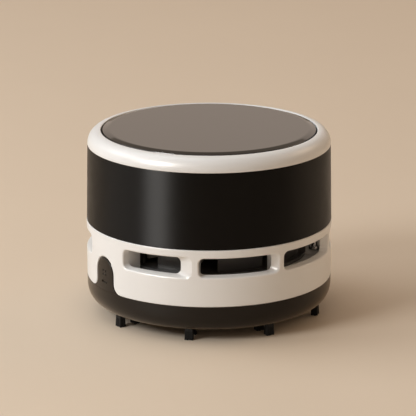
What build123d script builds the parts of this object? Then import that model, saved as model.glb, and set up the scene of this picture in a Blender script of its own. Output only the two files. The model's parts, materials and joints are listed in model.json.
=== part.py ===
"""Desktop mini vacuum cleaner: a dust base on brush tufts, a lift-off motor housing and a push-plate switch.

Millimetres, +Z up. The origin is on the table, at the centre; the release tab faces -Y.
Angles are counted from the front and grow to the right, as seen from outside.
"""

import os
from math import cos, degrees, radians, sin, tan

from build123d import *

STANDING = (Align.CENTER, Align.CENTER, Align.MIN)
HANGING = (Align.CENTER, Align.CENTER, Align.MAX)

# ---- outside ----
body_r = 43.0              # largest radius, at the foot of the band
base_height = 9.0          # black base, from its flat bottom to the lift-off seam
housing_height = 20.15     # white lower housing
band_height = 26.8
crown_height = 5.0
crown_width = 4.9          # radial width of the white crown ring
plate_rise = 0.45          # the plate stands this much above the crown
band_draft = 0.55          # the band narrows by this towards the top
base_inset = 0.15          # the base is this much smaller than the band's foot
base_corner_w = 4.8
base_corner_h = 6.65
crown_edge_r = 0.35
lip_proud = 0.1            # the white lip stands this far outside the band's foot
shell_wall = 2.6            # band, at its foot
housing_wall = 2.8
tray_wall = 1.8
tray_corner_ease = 0.4     # extra width of the tray's inner corner
wall_bite = 0.6            # moulded-on pieces start this deep inside their wall
cut_past = 1.0             # cuts run this far past the faces they open

# ---- clearances ----
seam_gap = 0.1             # lift-off seam
slide_gap = 0.35           # round pieces that move past each other
seat_gap = 0.3             # a loose piece above its seat
drop_gap = 0.1             # pieces laid into the housing, and screws in their holes
press_gap = 0.05           # round pieces that stay together
bush_gap = 0.02            # metal pressed into metal or plastic
run_gap = 0.05             # shaft in bush
plate_gap = 0.35           # black line around the plate

# ---- brush tufts ----
ground_clearance = 3.9     # free length of the tufts under the base
tuft_count = 8
tuft_pitch = 42.6          # degrees, one tuft to each exhaust slot
tuft_start = 4.6
tuft_inset = 4.15          # outer tufts in from the base's edge
tuft_row_gap = 6.2         # inner tufts in from the outer ones
tuft_w = 2.7
tuft_t = 2.1
tuft_flare = 0.4
tuft_root_r = 1.1
tuft_root_depth = 3.2
tuft_corner = 0.5
tuft_socket_wall = 1.0

# ---- exhaust slots ----
slot_count = 8
slot_pitch = 41.5          # degrees between the posts on each side, counted from the back
slot_back = 4.3            # first post of each side, from the back
slot_post = 2.8            # degrees of wall left between two slots
slot_front = 14.1          # the two slots beside the release tab end here
slot_ramp = 2.2            # the right end slopes in over this angle
first_ramp = 6.2           # the same for the slot right of the release tab
slot_height = 5.9          # at the inner wall
slot_flare = 0.2           # growth of each flank per mm outwards
slot_rise = 13.85          # middle of the slots above the seam
slot_corner = 1.9
fin_t = 1.2
fin_depth = 5.6

# ---- release tab ----
tab_w = 10.3
tab_height = 11.7
tab_t = 2.4
tab_gap = 0.45
tab_flare = 3.7            # concave foot radius
tab_pocket_wall = 0.9
tab_pocket_depth = 1.6
dimple_r = 0.42
dimple_pitch_x = 1.7
dimple_pitch_z = 1.3

# ---- suction inlet and dust tray ----
floor_t = 1.6
inlet_r = 9.0
inlet_flare = 2.0
chimney_wall = 1.4
chimney_height = 10.1
collar_t = 2.0
collar_rise = 3.1          # collar above the seam
collar_lip = 2.2
collar_lip_t = 1.4
collar_flange_t = 1.5
seal_wire_r = 0.6
seal_drop = 1.8            # seal below the collar's top
seal_squeeze = 0.15

# ---- filter ----
filter_frame_h = 2.8
filter_rim = 3.6
filter_rib_t = 1.6
filter_hub_r = 5.0
filter_media_t = 2.0
filter_seal_t = 0.7
filter_seal_w = 2.8
filter_seal_inset = 0.8
filter_seal_gap = 0.2      # under the ledge
media_groove = 0.8         # the felt's edge sits this deep in its frame

# ---- fan chamber ----
ledge_t = 1.2
ledge_overlap = 3.3        # the shroud's flange rests on the ledge by this much
shelf_drop = 1.25          # motor shelf below the top of the lower housing
shelf_t = 1.2
shelf_w = 2.6
shroud_gap = 8.2           # exhaust space between the shroud and the housing
shroud_wall = 1.4
flange_gap = 0.3           # between the shroud's flange and the fins
flange_t = 0.6
shroud_floor = 1.2
shroud_inlet_r = 13.0
window_w = 6.7             # one outlet of the shroud to each exhaust slot
window_lead = 4.0          # degrees from a slot's left end to the outlet's middle
shroud_top_gap = 0.2
window_margin = 0.8        # wall left above the outlets
fan_tip_gap = 2.1
fan_gap = 0.8
fan_back_t = 1.0
fan_blades = 9
fan_blade_t = 0.9
fan_hub_r = 4.2
fan_eye_r = 9.0            # inner end of the blades
fan_sweep = 38.0           # degrees swept by a blade
fan_curve = 20.0           # blade radius
fan_edge = 0.4             # rim of the back plate beyond the blades

# ---- motor ----
mount_t = 2.4
motor_r = 12.2
can_wall = 0.8
can_round = 0.6
deck_drop = 4.35           # button deck below the crown seam
deck_t = 1.5
cap_drop = 2.4             # open end of the can below the deck
cap_t = 1.5
boss_r = 3.0
boss_rise = 1.2
bush_r = 2.2
shaft_r = 1.0
sleeve_t = 1.0
sleeve_height = 9.5
socket_wall = 1.4
socket_height = 6.8
magnet_t = 1.9
magnet_span = 130.0
magnet_margin = 1.5
rotor_air = 0.5
core_inset = 0.8           # core inside the magnets' ends
pole_gap = 2.0
pole_tip = 1.6
pole_window_r = 2.3
winding_t = 5.4
winding_w = 7.6
winding_below = 0.65
winding_above = 0.8
shaft_end = 0.3            # shaft below the impeller
shaft_sink = 0.4           # shaft below the upper boss's face
commutator_r = 2.6
commutator_h = 1.8
commutator_slit_w = 0.3
commutator_slit_d = 0.4
brush_h = 1.6
brush_w = 1.4
brush_t = 1.0
terminal_ring = 7.0
terminal_w = 2.0
terminal_t = 0.5
terminal_rise = 1.6
motor_screw_ring = 8.0
motor_screw_r = 0.9
motor_screw_head_r = 1.8
motor_screw_bite = 0.6     # past the can's wall

# ---- battery ----
cell_r = 7.1
cell_length = 40.0
cell_gap = 0.6
cell_rise = 0.5
cell_round = 0.7
saddle_t = 2.0
saddle_spread = 28.0
saddle_rise = 4.3
saddle_margin = 1.0
contact_t = 0.3
contact_w = 5.0
contact_h = 8.0
lead_r = 0.55
lead_bend = 3.5
lead_pad_inset = 1.8       # battery wires meet the board this far in from its sides
lead_pad_gap = 3.5         # and from its front edge
motor_lead_reach = 8.0
lead_drop = 2.2            # battery wires below the motor's top

# ---- circuit board and socket ----
board_w = 30.0
board_gap = 1.75           # between the board and the motor's socket
board_t = 1.6
board_inset = 4.2          # rear edge in from the band
board_rise = 4.0
board_corner = 1.2
board_screw_margin = 0.6
post_r = 2.0
post_spread = 22.0
post_inset = 6.2
socket_w = 8.94
socket_h = 3.26
socket_depth = 7.35
socket_shell = 0.3
socket_back = 1.2
tongue_t = 0.7
tongue_side = 0.9
tongue_front = 1.0
port_gap = 0.4             # opening around the socket's shell
port_margin = 1.6          # finger recess around the opening
port_recess = 0.6
chip_w = 5.0
chip_d = 4.4
chip_h = 1.2
coil_w = 3.0
coil_h = 1.6
diode_w = 1.6
diode_d = 3.2
diode_h = 0.9
chip_space = 5.0           # between the parts on the board
led_x = 9.5
led_w = 1.6
pipe_r = 1.1
pipe_rise = 0.5            # light pipe above the board
pipe_inset = 0.05          # its front below the band's surface

# ---- shell screws ----
pillar_inset = 2.3         # screw pillars in from the housing's inner wall
pillar_r = 2.7
screw_r = 1.0
screw_head_r = 2.0
screw_head_t = 1.4
drive_w = 2.4              # cross recess
drive_t = 0.5
drive_depth = 0.7
screw_length = 16.0
screw_seat = 4.0           # head seat above the ledge
pilot_depth = 12.0
deck_screw_length = 7.0
deck_pilot_depth = 7.0
band_ledge = 2.4           # rims inside the band that stop the mount and the deck
band_ledge_t = 1.2

# ---- push plate ----
plate_t = 2.4
plate_bevel_w = 2.1
plate_bevel_h = 0.5
pad_t = 0.3
pad_inset = 1.2
carrier_t = 1.2
skirt_t = 1.4
flange_w = 1.35
flange_t = 1.2
shoulder_w = 1.65          # step under the crown that stops the flange
shoulder_t = 4.85
button_travel = 1.2
spring_count = 3
spring_inset = 13.2        # springs in from the plate's edge
spring_r = 2.4
spring_wire_r = 0.3
spring_turns = 3.5
peg_r = 1.6
peg_height = 1.0
cable_hole_r = 3.4
switch_w = 8.0
switch_height = 2.6
plunger_r = 1.7
switch_wall = 1.0
switch_corner = 0.5
switch_floor = 0.3
switch_pin_x = 2.5
switch_pin_t = 0.5
switch_pin_w = 1.2
switch_pin_reach = 0.6
plunger_spare = 0.15       # left under the plunger when the plate is pressed
soft_edge = 0.3            # small rounded edges
plunger_gap = 0.08

# ---- levels and radii that follow ----
base_z = ground_clearance
seam_z = base_z + base_height
band_z = seam_z + housing_height
crown_z = band_z + band_height
crown_top_z = crown_z + crown_height
plate_top_z = crown_top_z + plate_rise
housing_foot_z = seam_z + seam_gap

base_r = body_r - base_inset
band_top_r = body_r - band_draft
bore_r = band_top_r - crown_width
plate_r = bore_r - plate_gap
housing_in_r = body_r - housing_wall
band_in_r = band_top_r - shell_wall + band_draft
tray_in_r = base_r - tray_wall

collar_r = housing_in_r - slide_gap
collar_in_r = collar_r - collar_t
collar_top_z = seam_z + collar_rise
filter_z = collar_top_z + seat_gap
filter_top_z = filter_z + filter_frame_h
ledge_z = filter_top_z + filter_seal_t + filter_seal_gap
ledge_top_z = ledge_z + ledge_t
slot_z = seam_z + slot_rise
mount_z = band_z - shelf_drop
mount_top_z = mount_z + mount_t
mount_r = min(housing_in_r, band_in_r) - drop_gap
deck_z = crown_z - deck_drop
deck_top_z = deck_z + deck_t
motor_top_z = deck_z - cap_drop
socket_in_r = motor_r + sleeve_t + 2 * press_gap
socket_out_r = socket_in_r + socket_wall
pillar_ring = housing_in_r - pillar_inset
tuft_outer_ring = base_r - tuft_inset
tuft_inner_ring = tuft_outer_ring - tuft_row_gap
shroud_r = housing_in_r - shroud_gap
flange_r = housing_in_r - fin_depth - flange_gap
ledge_r = flange_r - ledge_overlap
fan_r = shroud_r - shroud_wall - fan_tip_gap
spring_ring = plate_r - spring_inset
board_edge = band_in_r - board_inset
board_d = board_edge - socket_out_r - board_gap
board_y = board_edge - board_d / 2
board_z = mount_top_z + board_rise
board_top_z = board_z + board_t
socket_z = board_top_z + socket_h / 2
socket_front = band_top_r - port_recess
pipe_z = board_top_z + pipe_r + pipe_rise
tab_r = base_r
tab_in_r = tab_r - tab_t
tab_top_z = seam_z + tab_height
pocket_y = tab_in_r - tab_pocket_depth
tab_cut = body_r - pocket_y + cut_past

right_posts = [180 - slot_back - slot_pitch * i for i in reversed(range(slot_count // 2))]
left_posts = [360 - a for a in reversed(right_posts)]
slot_starts = [slot_front] + [a + slot_post / 2 for a in right_posts[:-1] + left_posts]
slot_ends = [a - slot_post / 2 for a in right_posts + left_posts[1:]] + [360 - slot_front]
slot_ramps = [first_ramp] + [slot_ramp] * (slot_count - 1)
wall_angles = [(a - ramp + b) / 2 for a, ramp, b in zip(slot_ends, slot_ramps, slot_starts[1:])]
pillar_angles = wall_angles[::2]
tuft_angles = [tuft_start + tuft_pitch * i for i in range(tuft_count)]


def around(radius, angle):
    """Plan position at an angle from the front."""
    return (radius * sin(radians(angle)), -radius * cos(radians(angle)))


def spots(radius, angles, height=0.0):
    """Places around the axis, each turned so that its local -Y points outwards."""
    return [Location((*around(radius, a), height), (0, 0, a)) for a in angles]


def ring_profile(points):
    """Closed outline in radius and height, for a revolve."""
    with BuildSketch(Plane.XZ) as outline:
        with BuildLine():
            Polyline(*points, close=True)
        make_face()
    return outline.sketch


def tab_outline(grow=0.0):
    """Front view of the release tab: a round-topped tongue with a concave flare at its foot."""
    half = tab_w / 2
    with BuildSketch(Plane.XZ.offset(pocket_y)) as outline:
        with Locations((0, seam_z - 2 * grow)):
            Rectangle(2 * (half + tab_flare), tab_flare + 2 * grow, align=(Align.CENTER, Align.MIN))
        with Locations((half + tab_flare, seam_z + tab_flare), (-half - tab_flare, seam_z + tab_flare)):
            Circle(tab_flare - grow, mode=Mode.SUBTRACT)
        with Locations((0, seam_z - 2 * grow)):
            Rectangle(tab_w + 2 * grow, tab_height - half + 2 * grow, align=(Align.CENTER, Align.MIN))
        with Locations((0, tab_top_z - half)):
            Circle(half + grow)
    return outline.sketch


def slot_section(span, ramp, depth):
    """Bounds of an exhaust slot's section, at a distance from the axis along the slot's middle."""
    half = radians(span / 2)
    left = -depth * tan(half)
    lip = (body_r * sin(half), body_r * cos(half))
    inner = half - radians(ramp)
    foot = (housing_in_r * sin(inner), housing_in_r * cos(inner))
    right = lip[0] + (depth - lip[1]) * (lip[0] - foot[0]) / (lip[1] - foot[1])
    height = slot_height + 2 * slot_flare * (depth - housing_in_r)
    return left, right, height


def slot_sketch(start, end, ramp, depth):
    """Rounded section of one exhaust slot, square to the radius at the slot's middle."""
    middle = around(1.0, (start + end) / 2)
    out = Vector(middle[0], middle[1], 0)
    side = Vector(-middle[1], middle[0], 0)
    left, right, height = slot_section(end - start, ramp, depth)
    with BuildSketch(Plane(origin=out * depth, x_dir=side, z_dir=out)) as section:
        with Locations(((left + right) / 2, slot_z)):
            RectangleRounded(right - left, height, slot_corner)
    return section.sketch


def self_tapper(length):
    """Pan-head screw hanging from its seat: the head is above the origin, the shank below."""
    with BuildPart() as screw:
        Cylinder(screw_head_r, screw_head_t, align=STANDING)
        fillet(screw.edges().sort_by(Axis.Z)[-1], screw_head_t / 3)
        Cylinder(screw_r, length, align=HANGING)
        with Locations((0, 0, screw_head_t)):
            Box(drive_w, drive_t, 2 * drive_depth, mode=Mode.SUBTRACT)
            Box(drive_t, drive_w, 2 * drive_depth, mode=Mode.SUBTRACT)
    return screw.part


def disc(radius, height, z):
    """Cylinder standing on a level, added to the open part."""
    with Locations((0, 0, z)):
        Cylinder(radius, height, align=STANDING)


os.makedirs("parts", exist_ok=True)

# ==== dust base ====
tray_floor_z = base_z + floor_t
tuft_seat_z = base_z + tuft_root_depth + tuft_socket_wall

with BuildPart() as base_tray:
    with BuildSketch(Plane.XZ):
        with BuildLine():
            corner_r = base_r - base_corner_w
            corner_z = base_z + base_corner_h
            Line((inlet_r, base_z), (corner_r, base_z))
            EllipticalCenterArc((corner_r, corner_z), base_corner_w, base_corner_h, -90, arc_size=90)
            Polyline((base_r, corner_z), (base_r, seam_z), (tray_in_r, seam_z), (tray_in_r, corner_z))
            in_w = base_corner_w - tray_wall + tray_corner_ease
            in_h = corner_z - tray_floor_z
            EllipticalCenterArc((tray_in_r - in_w, corner_z), in_w, in_h, 0, arc_size=-90)
            Polyline((tray_in_r - in_w, tray_floor_z), (inlet_r, tray_floor_z), (inlet_r, base_z))
        make_face()
    revolve(axis=Axis.Z)
    disc(inlet_r + chimney_wall, chimney_height, base_z)
    for ring in (tuft_outer_ring, tuft_inner_ring):
        with Locations(*spots(ring, tuft_angles, tray_floor_z - wall_bite)):
            Cylinder(tuft_root_r + tuft_socket_wall, tuft_seat_z - tray_floor_z + wall_bite, align=STANDING)
        with Locations(*spots(ring, tuft_angles, base_z - cut_past)):
            Cylinder(tuft_root_r + press_gap, tuft_root_depth + cut_past, align=STANDING, mode=Mode.SUBTRACT)
    with BuildSketch(Plane.XZ):
        with BuildLine():
            mouth_r = inlet_r + inlet_flare
            RadiusArc((mouth_r, base_z), (inlet_r, base_z + inlet_flare), inlet_flare)
            Polyline(
                (inlet_r, base_z + inlet_flare),
                (inlet_r, base_z + chimney_height + cut_past),
                (0, base_z + chimney_height + cut_past),
                (0, base_z - cut_past),
                (mouth_r, base_z - cut_past),
                (mouth_r, base_z),
            )
        make_face()
    revolve(axis=Axis.Z, mode=Mode.SUBTRACT)
base_tray.part.label = "base_tray"
export_step(base_tray.part, "parts/base_tray.step")


def tufts(ring):
    """Eight flared brush tufts on one ring, each with a root in its socket."""
    with BuildPart() as tuft:
        with BuildSketch(Plane.XY):
            RectangleRounded(tuft_w + 2 * tuft_flare, tuft_t + 2 * tuft_flare, tuft_corner)
        with BuildSketch(Plane.XY.offset(base_z)):
            RectangleRounded(tuft_w, tuft_t, tuft_corner)
        loft(ruled=True)
        with Locations((0, 0, base_z)):
            Cylinder(tuft_root_r, tuft_root_depth, align=STANDING)
    with BuildPart() as group:
        with Locations(*spots(ring, tuft_angles)):
            add(tuft.part)
    return group.part


with BuildPart() as outer_brush_tufts:
    add(tufts(tuft_outer_ring))
outer_brush_tufts.part.label = "outer_brush_tufts"
export_step(outer_brush_tufts.part, "parts/outer_brush_tufts.step")

with BuildPart() as inner_brush_tufts:
    add(tufts(tuft_inner_ring))
inner_brush_tufts.part.label = "inner_brush_tufts"
export_step(inner_brush_tufts.part, "parts/inner_brush_tufts.step")

seal_z = collar_top_z - seal_drop
seal_ring_r = housing_in_r - seal_squeeze - seal_wire_r
groove_h = 2 * (seal_wire_r + press_gap)

with BuildPart() as filter_collar:
    revolve(
        ring_profile(
            [
                (collar_in_r, tuft_seat_z),
                (collar_r, tuft_seat_z),
                (collar_r, seam_z - collar_flange_t),
                (tray_in_r - press_gap, seam_z - collar_flange_t),
                (tray_in_r - press_gap, seam_z),
                (collar_r, seam_z),
                (collar_r, collar_top_z),
                (collar_in_r - collar_lip, collar_top_z),
                (collar_in_r - collar_lip, collar_top_z - collar_lip_t),
                (collar_in_r, collar_top_z - collar_lip_t),
            ]
        ),
        axis=Axis.Z,
    )
    with Locations((0, 0, seal_z)):
        Cylinder(collar_r + cut_past, groove_h, mode=Mode.SUBTRACT)
        Cylinder(seal_ring_r - seal_wire_r - press_gap, groove_h)
        Cylinder(collar_in_r, groove_h, mode=Mode.SUBTRACT)
filter_collar.part.label = "filter_collar"
export_step(filter_collar.part, "parts/filter_collar.step")

with BuildPart() as base_seal:
    with Locations((0, 0, seal_z)):
        Torus(seal_ring_r, seal_wire_r)
base_seal.part.label = "base_seal"
export_step(base_seal.part, "parts/base_seal.step")

# ==== release latch ====
with BuildPart() as release_tab:
    extrude(tab_outline(), amount=tab_cut)
    with Locations((0, 0, seam_z)):
        Cylinder(tab_r, 2 * tab_height, align=STANDING, mode=Mode.INTERSECT)
        Cylinder(tab_in_r, 2 * tab_height, align=STANDING, mode=Mode.SUBTRACT)
    dimple_z = seam_z + tab_height / 2
    with Locations((0, -tab_r, dimple_z)):
        with GridLocations(dimple_pitch_x, dimple_pitch_z, 2, 1):
            with Locations((0, 0, 0), (0, 0, dimple_pitch_z)):
                Sphere(dimple_r, mode=Mode.SUBTRACT)
    with Locations(Location((0, -tab_r, dimple_z - 2 * dimple_pitch_z), (0, 90, 0))):
        Cylinder(dimple_r, 2 * dimple_pitch_x, mode=Mode.SUBTRACT)
release_tab.part.label = "release_tab"
export_step(release_tab.part, "parts/release_tab.step")

# ==== filter cassette ====
filter_r = pocket_y - tab_pocket_wall - slide_gap
filter_in_r = filter_r - filter_rim
media_z = filter_z + (filter_frame_h - filter_media_t) / 2

with BuildPart() as filter_frame:
    with BuildSketch(Plane.XY.offset(filter_z)):
        Circle(filter_r)
        Circle(filter_in_r, mode=Mode.SUBTRACT)
        Circle(filter_hub_r)
        with PolarLocations(0, 3):
            Rectangle(2 * filter_in_r + filter_rim, filter_rib_t)
    extrude(amount=filter_frame_h)
    with BuildSketch(Plane.XY.offset(media_z)):
        Circle(filter_in_r + media_groove)
    extrude(amount=filter_media_t, mode=Mode.SUBTRACT)
    with BuildSketch(Plane.XY.offset(filter_z)):
        Circle(filter_rib_t)
    extrude(amount=filter_frame_h)
filter_frame.part.label = "filter_frame"
export_step(filter_frame.part, "parts/filter_frame.step")

with BuildPart() as filter_media:
    with BuildSketch(Plane.XY.offset(media_z + press_gap)):
        Circle(filter_in_r + media_groove - press_gap)
        Circle(filter_rib_t + press_gap, mode=Mode.SUBTRACT)
    extrude(amount=filter_media_t - 2 * press_gap)
filter_media.part.label = "filter_media"
export_step(filter_media.part, "parts/filter_media.step")

with BuildPart() as filter_seal:
    with BuildSketch(Plane.XY.offset(filter_top_z)):
        Circle(filter_r - filter_seal_inset)
        Circle(filter_r - filter_seal_inset - filter_seal_w, mode=Mode.SUBTRACT)
    extrude(amount=filter_seal_t)
filter_seal.part.label = "filter_seal"
export_step(filter_seal.part, "parts/filter_seal.step")

# ==== motor housing: shells ====
shelf_r = housing_in_r - shelf_w
lower_seat_z = ledge_top_z + screw_seat
pocket_w = tab_w + 2 * tab_gap
pocket_depth = housing_in_r - pocket_y
pocket_z = collar_top_z + tab_pocket_wall
pocket_top_z = tab_top_z + 2 * tab_gap

with BuildPart() as lower_housing:
    revolve(
        ring_profile(
            [
                (housing_in_r, housing_foot_z),
                (base_r, housing_foot_z),
                (body_r, band_z),
                (housing_in_r, band_z),
                (housing_in_r, mount_z),
                (shelf_r, mount_z),
                (shelf_r, mount_z - shelf_t),
                (housing_in_r, mount_z - shelf_t),
                (housing_in_r, ledge_top_z),
                (ledge_r, ledge_top_z),
                (ledge_r, ledge_z),
                (housing_in_r, ledge_z),
            ]
        ),
        axis=Axis.Z,
    )
    with Locations(*spots(pillar_ring, pillar_angles, ledge_top_z)):
        Cylinder(pillar_r, mount_z - ledge_top_z, align=STANDING)
    fin_ring = housing_in_r - (fin_depth - wall_bite) / 2
    fin_angles = [a - degrees(fin_t / 2 / fin_ring) for a in slot_starts]
    with Locations(*spots(fin_ring, fin_angles, ledge_top_z)):
        Box(fin_t, fin_depth + wall_bite, mount_z - shelf_t - ledge_top_z, align=STANDING)
    with Locations((0, tab_pocket_wall - pocket_y, pocket_z)):
        Box(
            pocket_w + 2 * tab_pocket_wall,
            pocket_depth + tab_pocket_wall + wall_bite / 2,
            pocket_top_z + tab_pocket_wall - pocket_z,
            align=(Align.CENTER, Align.MAX, Align.MIN),
        )
    with Locations((0, -pocket_y, seam_z)):
        Box(
            pocket_w,
            pocket_depth,
            pocket_top_z - seam_z,
            align=(Align.CENTER, Align.MAX, Align.MIN),
            mode=Mode.SUBTRACT,
        )
    for start, end, ramp in zip(slot_starts, slot_ends, slot_ramps):
        slot_depth = housing_in_r * cos(radians((end - start) / 2)) - cut_past
        loft(
            [slot_sketch(start, end, ramp, slot_depth), slot_sketch(start, end, ramp, body_r + cut_past)],
            ruled=True,
            mode=Mode.SUBTRACT,
        )
    extrude(tab_outline(tab_gap), amount=tab_cut, mode=Mode.SUBTRACT)
    with Locations(*spots(pillar_ring, pillar_angles, ledge_z - cut_past)):
        Cylinder(screw_r + drop_gap, mount_z - ledge_z + 2 * cut_past, align=STANDING, mode=Mode.SUBTRACT)
        head_h = lower_seat_z - ledge_z + cut_past
        Cylinder(screw_head_r + drop_gap, head_h, align=STANDING, mode=Mode.SUBTRACT)
lower_housing.part.label = "lower_housing"
export_step(lower_housing.part, "parts/lower_housing.step")

with BuildPart() as body_band:
    revolve(
        ring_profile(
            [
                (band_in_r, band_z),
                (body_r - lip_proud, band_z),
                (band_top_r, crown_z),
                (band_in_r, crown_z),
                (band_in_r, deck_z),
                (band_in_r - band_ledge, deck_z),
                (band_in_r - band_ledge, deck_z - band_ledge_t),
                (band_in_r, deck_z - band_ledge_t - band_ledge),
                (band_in_r, mount_top_z + band_ledge_t + band_ledge),
                (band_in_r - band_ledge, mount_top_z + band_ledge_t),
                (band_in_r - band_ledge, mount_top_z),
                (band_in_r, mount_top_z),
            ]
        ),
        axis=Axis.Z,
    )
    with Locations(*spots(pillar_ring, pillar_angles, mount_top_z)):
        Cylinder(pillar_r, deck_z - mount_top_z, align=STANDING)
        Cylinder(screw_r + run_gap, pilot_depth, align=STANDING, mode=Mode.SUBTRACT)
    with Locations(*spots(pillar_ring, pillar_angles, deck_z)):
        Cylinder(screw_r + run_gap, deck_pilot_depth, align=HANGING, mode=Mode.SUBTRACT)
    with BuildSketch(Plane.XZ.offset(-body_r)):
        with Locations((0, socket_z)):
            SlotOverall(socket_w + 2 * port_gap, socket_h + 2 * port_gap)
    extrude(amount=shell_wall + 2 * cut_past, mode=Mode.SUBTRACT)
    with BuildSketch(Plane.XZ.offset(-body_r)):
        with Locations((0, socket_z)):
            SlotOverall(socket_w + 2 * port_margin, socket_h + 2 * port_margin)
    extrude(amount=body_r - socket_front, mode=Mode.SUBTRACT)
    with Locations(Location((-led_x, board_edge, pipe_z), (-90, 0, 0))):
        Cylinder(pipe_r + press_gap, body_r - board_edge, align=STANDING, mode=Mode.SUBTRACT)
body_band.part.label = "body_band"
export_step(body_band.part, "parts/body_band.step")

shoulder_z = crown_top_z - shoulder_t
spigot_r = band_in_r - drop_gap
spigot_z = deck_top_z + drop_gap

with BuildPart() as top_ring:
    with BuildSketch(Plane.XZ) as crown_section:
        with BuildLine():
            EllipticalCenterArc((bore_r, crown_z), crown_width, crown_height, 0, arc_size=90)
            Polyline(
                (bore_r, crown_top_z),
                (bore_r, shoulder_z),
                (bore_r + shoulder_w, shoulder_z),
                (bore_r + shoulder_w, spigot_z),
                (spigot_r, spigot_z),
                (spigot_r, crown_z),
                (band_top_r, crown_z),
            )
        make_face()
        fillet(crown_section.vertices().sort_by(Axis.Y)[-1], crown_edge_r)
    revolve(axis=Axis.Z)
top_ring.part.label = "top_ring"
export_step(top_ring.part, "parts/top_ring.step")

# ==== motor housing: fan chamber and motor mount ====
shroud_top_z = mount_z - shroud_top_gap

with BuildPart() as fan_shroud:
    revolve(
        ring_profile(
            [
                (shroud_inlet_r, ledge_top_z),
                (flange_r, ledge_top_z),
                (flange_r, ledge_top_z + flange_t),
                (shroud_r, ledge_top_z + flange_t),
                (shroud_r, shroud_top_z),
                (shroud_r - shroud_wall, shroud_top_z),
                (shroud_r - shroud_wall, ledge_top_z + shroud_floor),
                (shroud_inlet_r, ledge_top_z + shroud_floor),
            ]
        ),
        axis=Axis.Z,
    )
    window_h = shroud_top_z - ledge_top_z - shroud_floor - window_margin
    window_angles = [a + window_lead for a in slot_starts]
    with Locations(*spots(shroud_r, window_angles, ledge_top_z + shroud_floor)):
        Box(window_w, 4 * shroud_wall, window_h, align=STANDING, mode=Mode.SUBTRACT)
fan_shroud.part.label = "fan_shroud"
export_step(fan_shroud.part, "parts/fan_shroud.step")

cell_y = -(socket_out_r + cell_gap + cell_r)
cell_z = mount_top_z + cell_rise + cell_r
motor_screw_spots = [(motor_screw_ring, 0, mount_z), (-motor_screw_ring, 0, mount_z)]
post_y = board_edge - post_inset

with BuildPart() as motor_mount:
    disc(mount_r, mount_t, mount_z)
    with Locations(*spots(pillar_ring, pillar_angles, mount_z)):
        Cylinder(screw_r + drop_gap, mount_t, align=STANDING, mode=Mode.SUBTRACT)
    with Locations((0, 0, mount_top_z)):
        Cylinder(socket_out_r, socket_height, align=STANDING)
        Cylinder(socket_in_r, socket_height, align=STANDING, mode=Mode.SUBTRACT)
    with Locations((0, 0, mount_z)):
        Cylinder(boss_r + drop_gap, mount_t, align=STANDING, mode=Mode.SUBTRACT)
    with Locations(*motor_screw_spots):
        Cylinder(motor_screw_head_r + drop_gap, mount_t / 2, align=STANDING, mode=Mode.SUBTRACT)
        Cylinder(motor_screw_r + drop_gap, mount_t, align=STANDING, mode=Mode.SUBTRACT)
    with Locations((-saddle_spread / 2, cell_y, mount_top_z), (saddle_spread / 2, cell_y, mount_top_z)):
        Box(saddle_t, 2 * (cell_r + saddle_margin), saddle_rise, align=STANDING)
    with Locations(Location((0, cell_y, cell_z), (0, 90, 0))):
        Cylinder(cell_r + press_gap, saddle_spread + 2 * saddle_t, mode=Mode.SUBTRACT)
    with Locations((-post_spread / 2, post_y, mount_top_z), (post_spread / 2, post_y, mount_top_z)):
        Cylinder(post_r, board_rise, align=STANDING)
        Cylinder(screw_r + run_gap, board_rise, align=STANDING, mode=Mode.SUBTRACT)
motor_mount.part.label = "motor_mount"
export_step(motor_mount.part, "parts/motor_mount.step")

# ==== motor ====
can_in_r = motor_r - can_wall
nose_z = mount_top_z - boss_rise

with BuildPart() as motor_can:
    disc(motor_r, motor_top_z - mount_top_z, mount_top_z)
    fillet(motor_can.edges().sort_by(Axis.Z)[0], can_round)
    disc(boss_r, boss_rise, nose_z)
    with Locations((0, 0, mount_top_z + can_wall)):
        Cylinder(can_in_r, motor_top_z - mount_top_z, align=STANDING, mode=Mode.SUBTRACT)
    with Locations((0, 0, nose_z)):
        Cylinder(bush_r + bush_gap, 3 * boss_rise, align=STANDING, mode=Mode.SUBTRACT)
    with Locations((motor_screw_ring, 0, mount_top_z), (-motor_screw_ring, 0, mount_top_z)):
        Cylinder(motor_screw_r + run_gap, 2 * can_wall, mode=Mode.SUBTRACT)
motor_can.part.label = "motor_can"
export_step(motor_can.part, "parts/motor_can.step")

cap_z = motor_top_z - cap_t

with BuildPart() as motor_end_cap:
    disc(can_in_r - press_gap, cap_t, cap_z)
    disc(boss_r, cap_t + boss_rise, cap_z)
    fillet(motor_end_cap.edges().sort_by(Axis.Z)[-1], soft_edge)
    with Locations((0, 0, cap_z)):
        Cylinder(bush_r + bush_gap, cap_t + boss_rise, align=STANDING, mode=Mode.SUBTRACT)
    with Locations((terminal_ring, 0, cap_z), (-terminal_ring, 0, cap_z)):
        Box(terminal_t + drop_gap, terminal_w + drop_gap, cap_t, align=STANDING, mode=Mode.SUBTRACT)
motor_end_cap.part.label = "motor_end_cap"
export_step(motor_end_cap.part, "parts/motor_end_cap.step")

with BuildPart() as motor_bushes:
    disc(bush_r, 2 * boss_rise, nose_z)
    disc(bush_r, cap_t + boss_rise, cap_z)
    Cylinder(shaft_r + run_gap, 2 * motor_top_z, align=STANDING, mode=Mode.SUBTRACT)
motor_bushes.part.label = "motor_bushes"
export_step(motor_bushes.part, "parts/motor_bushes.step")

magnet_z = mount_top_z + can_wall + magnet_margin
magnet_h = cap_z - magnet_margin - magnet_z

with BuildPart() as motor_magnets:
    with BuildSketch(Plane.XY.offset(magnet_z)):
        Circle(can_in_r - press_gap)
        Circle(can_in_r - magnet_t, mode=Mode.SUBTRACT)
        gap_w = 2 * can_in_r * cos(radians(magnet_span / 2))
        Rectangle(3 * can_in_r, gap_w, mode=Mode.SUBTRACT)
    extrude(amount=magnet_h)
motor_magnets.part.label = "motor_magnets"
export_step(motor_magnets.part, "parts/motor_magnets.step")

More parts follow.
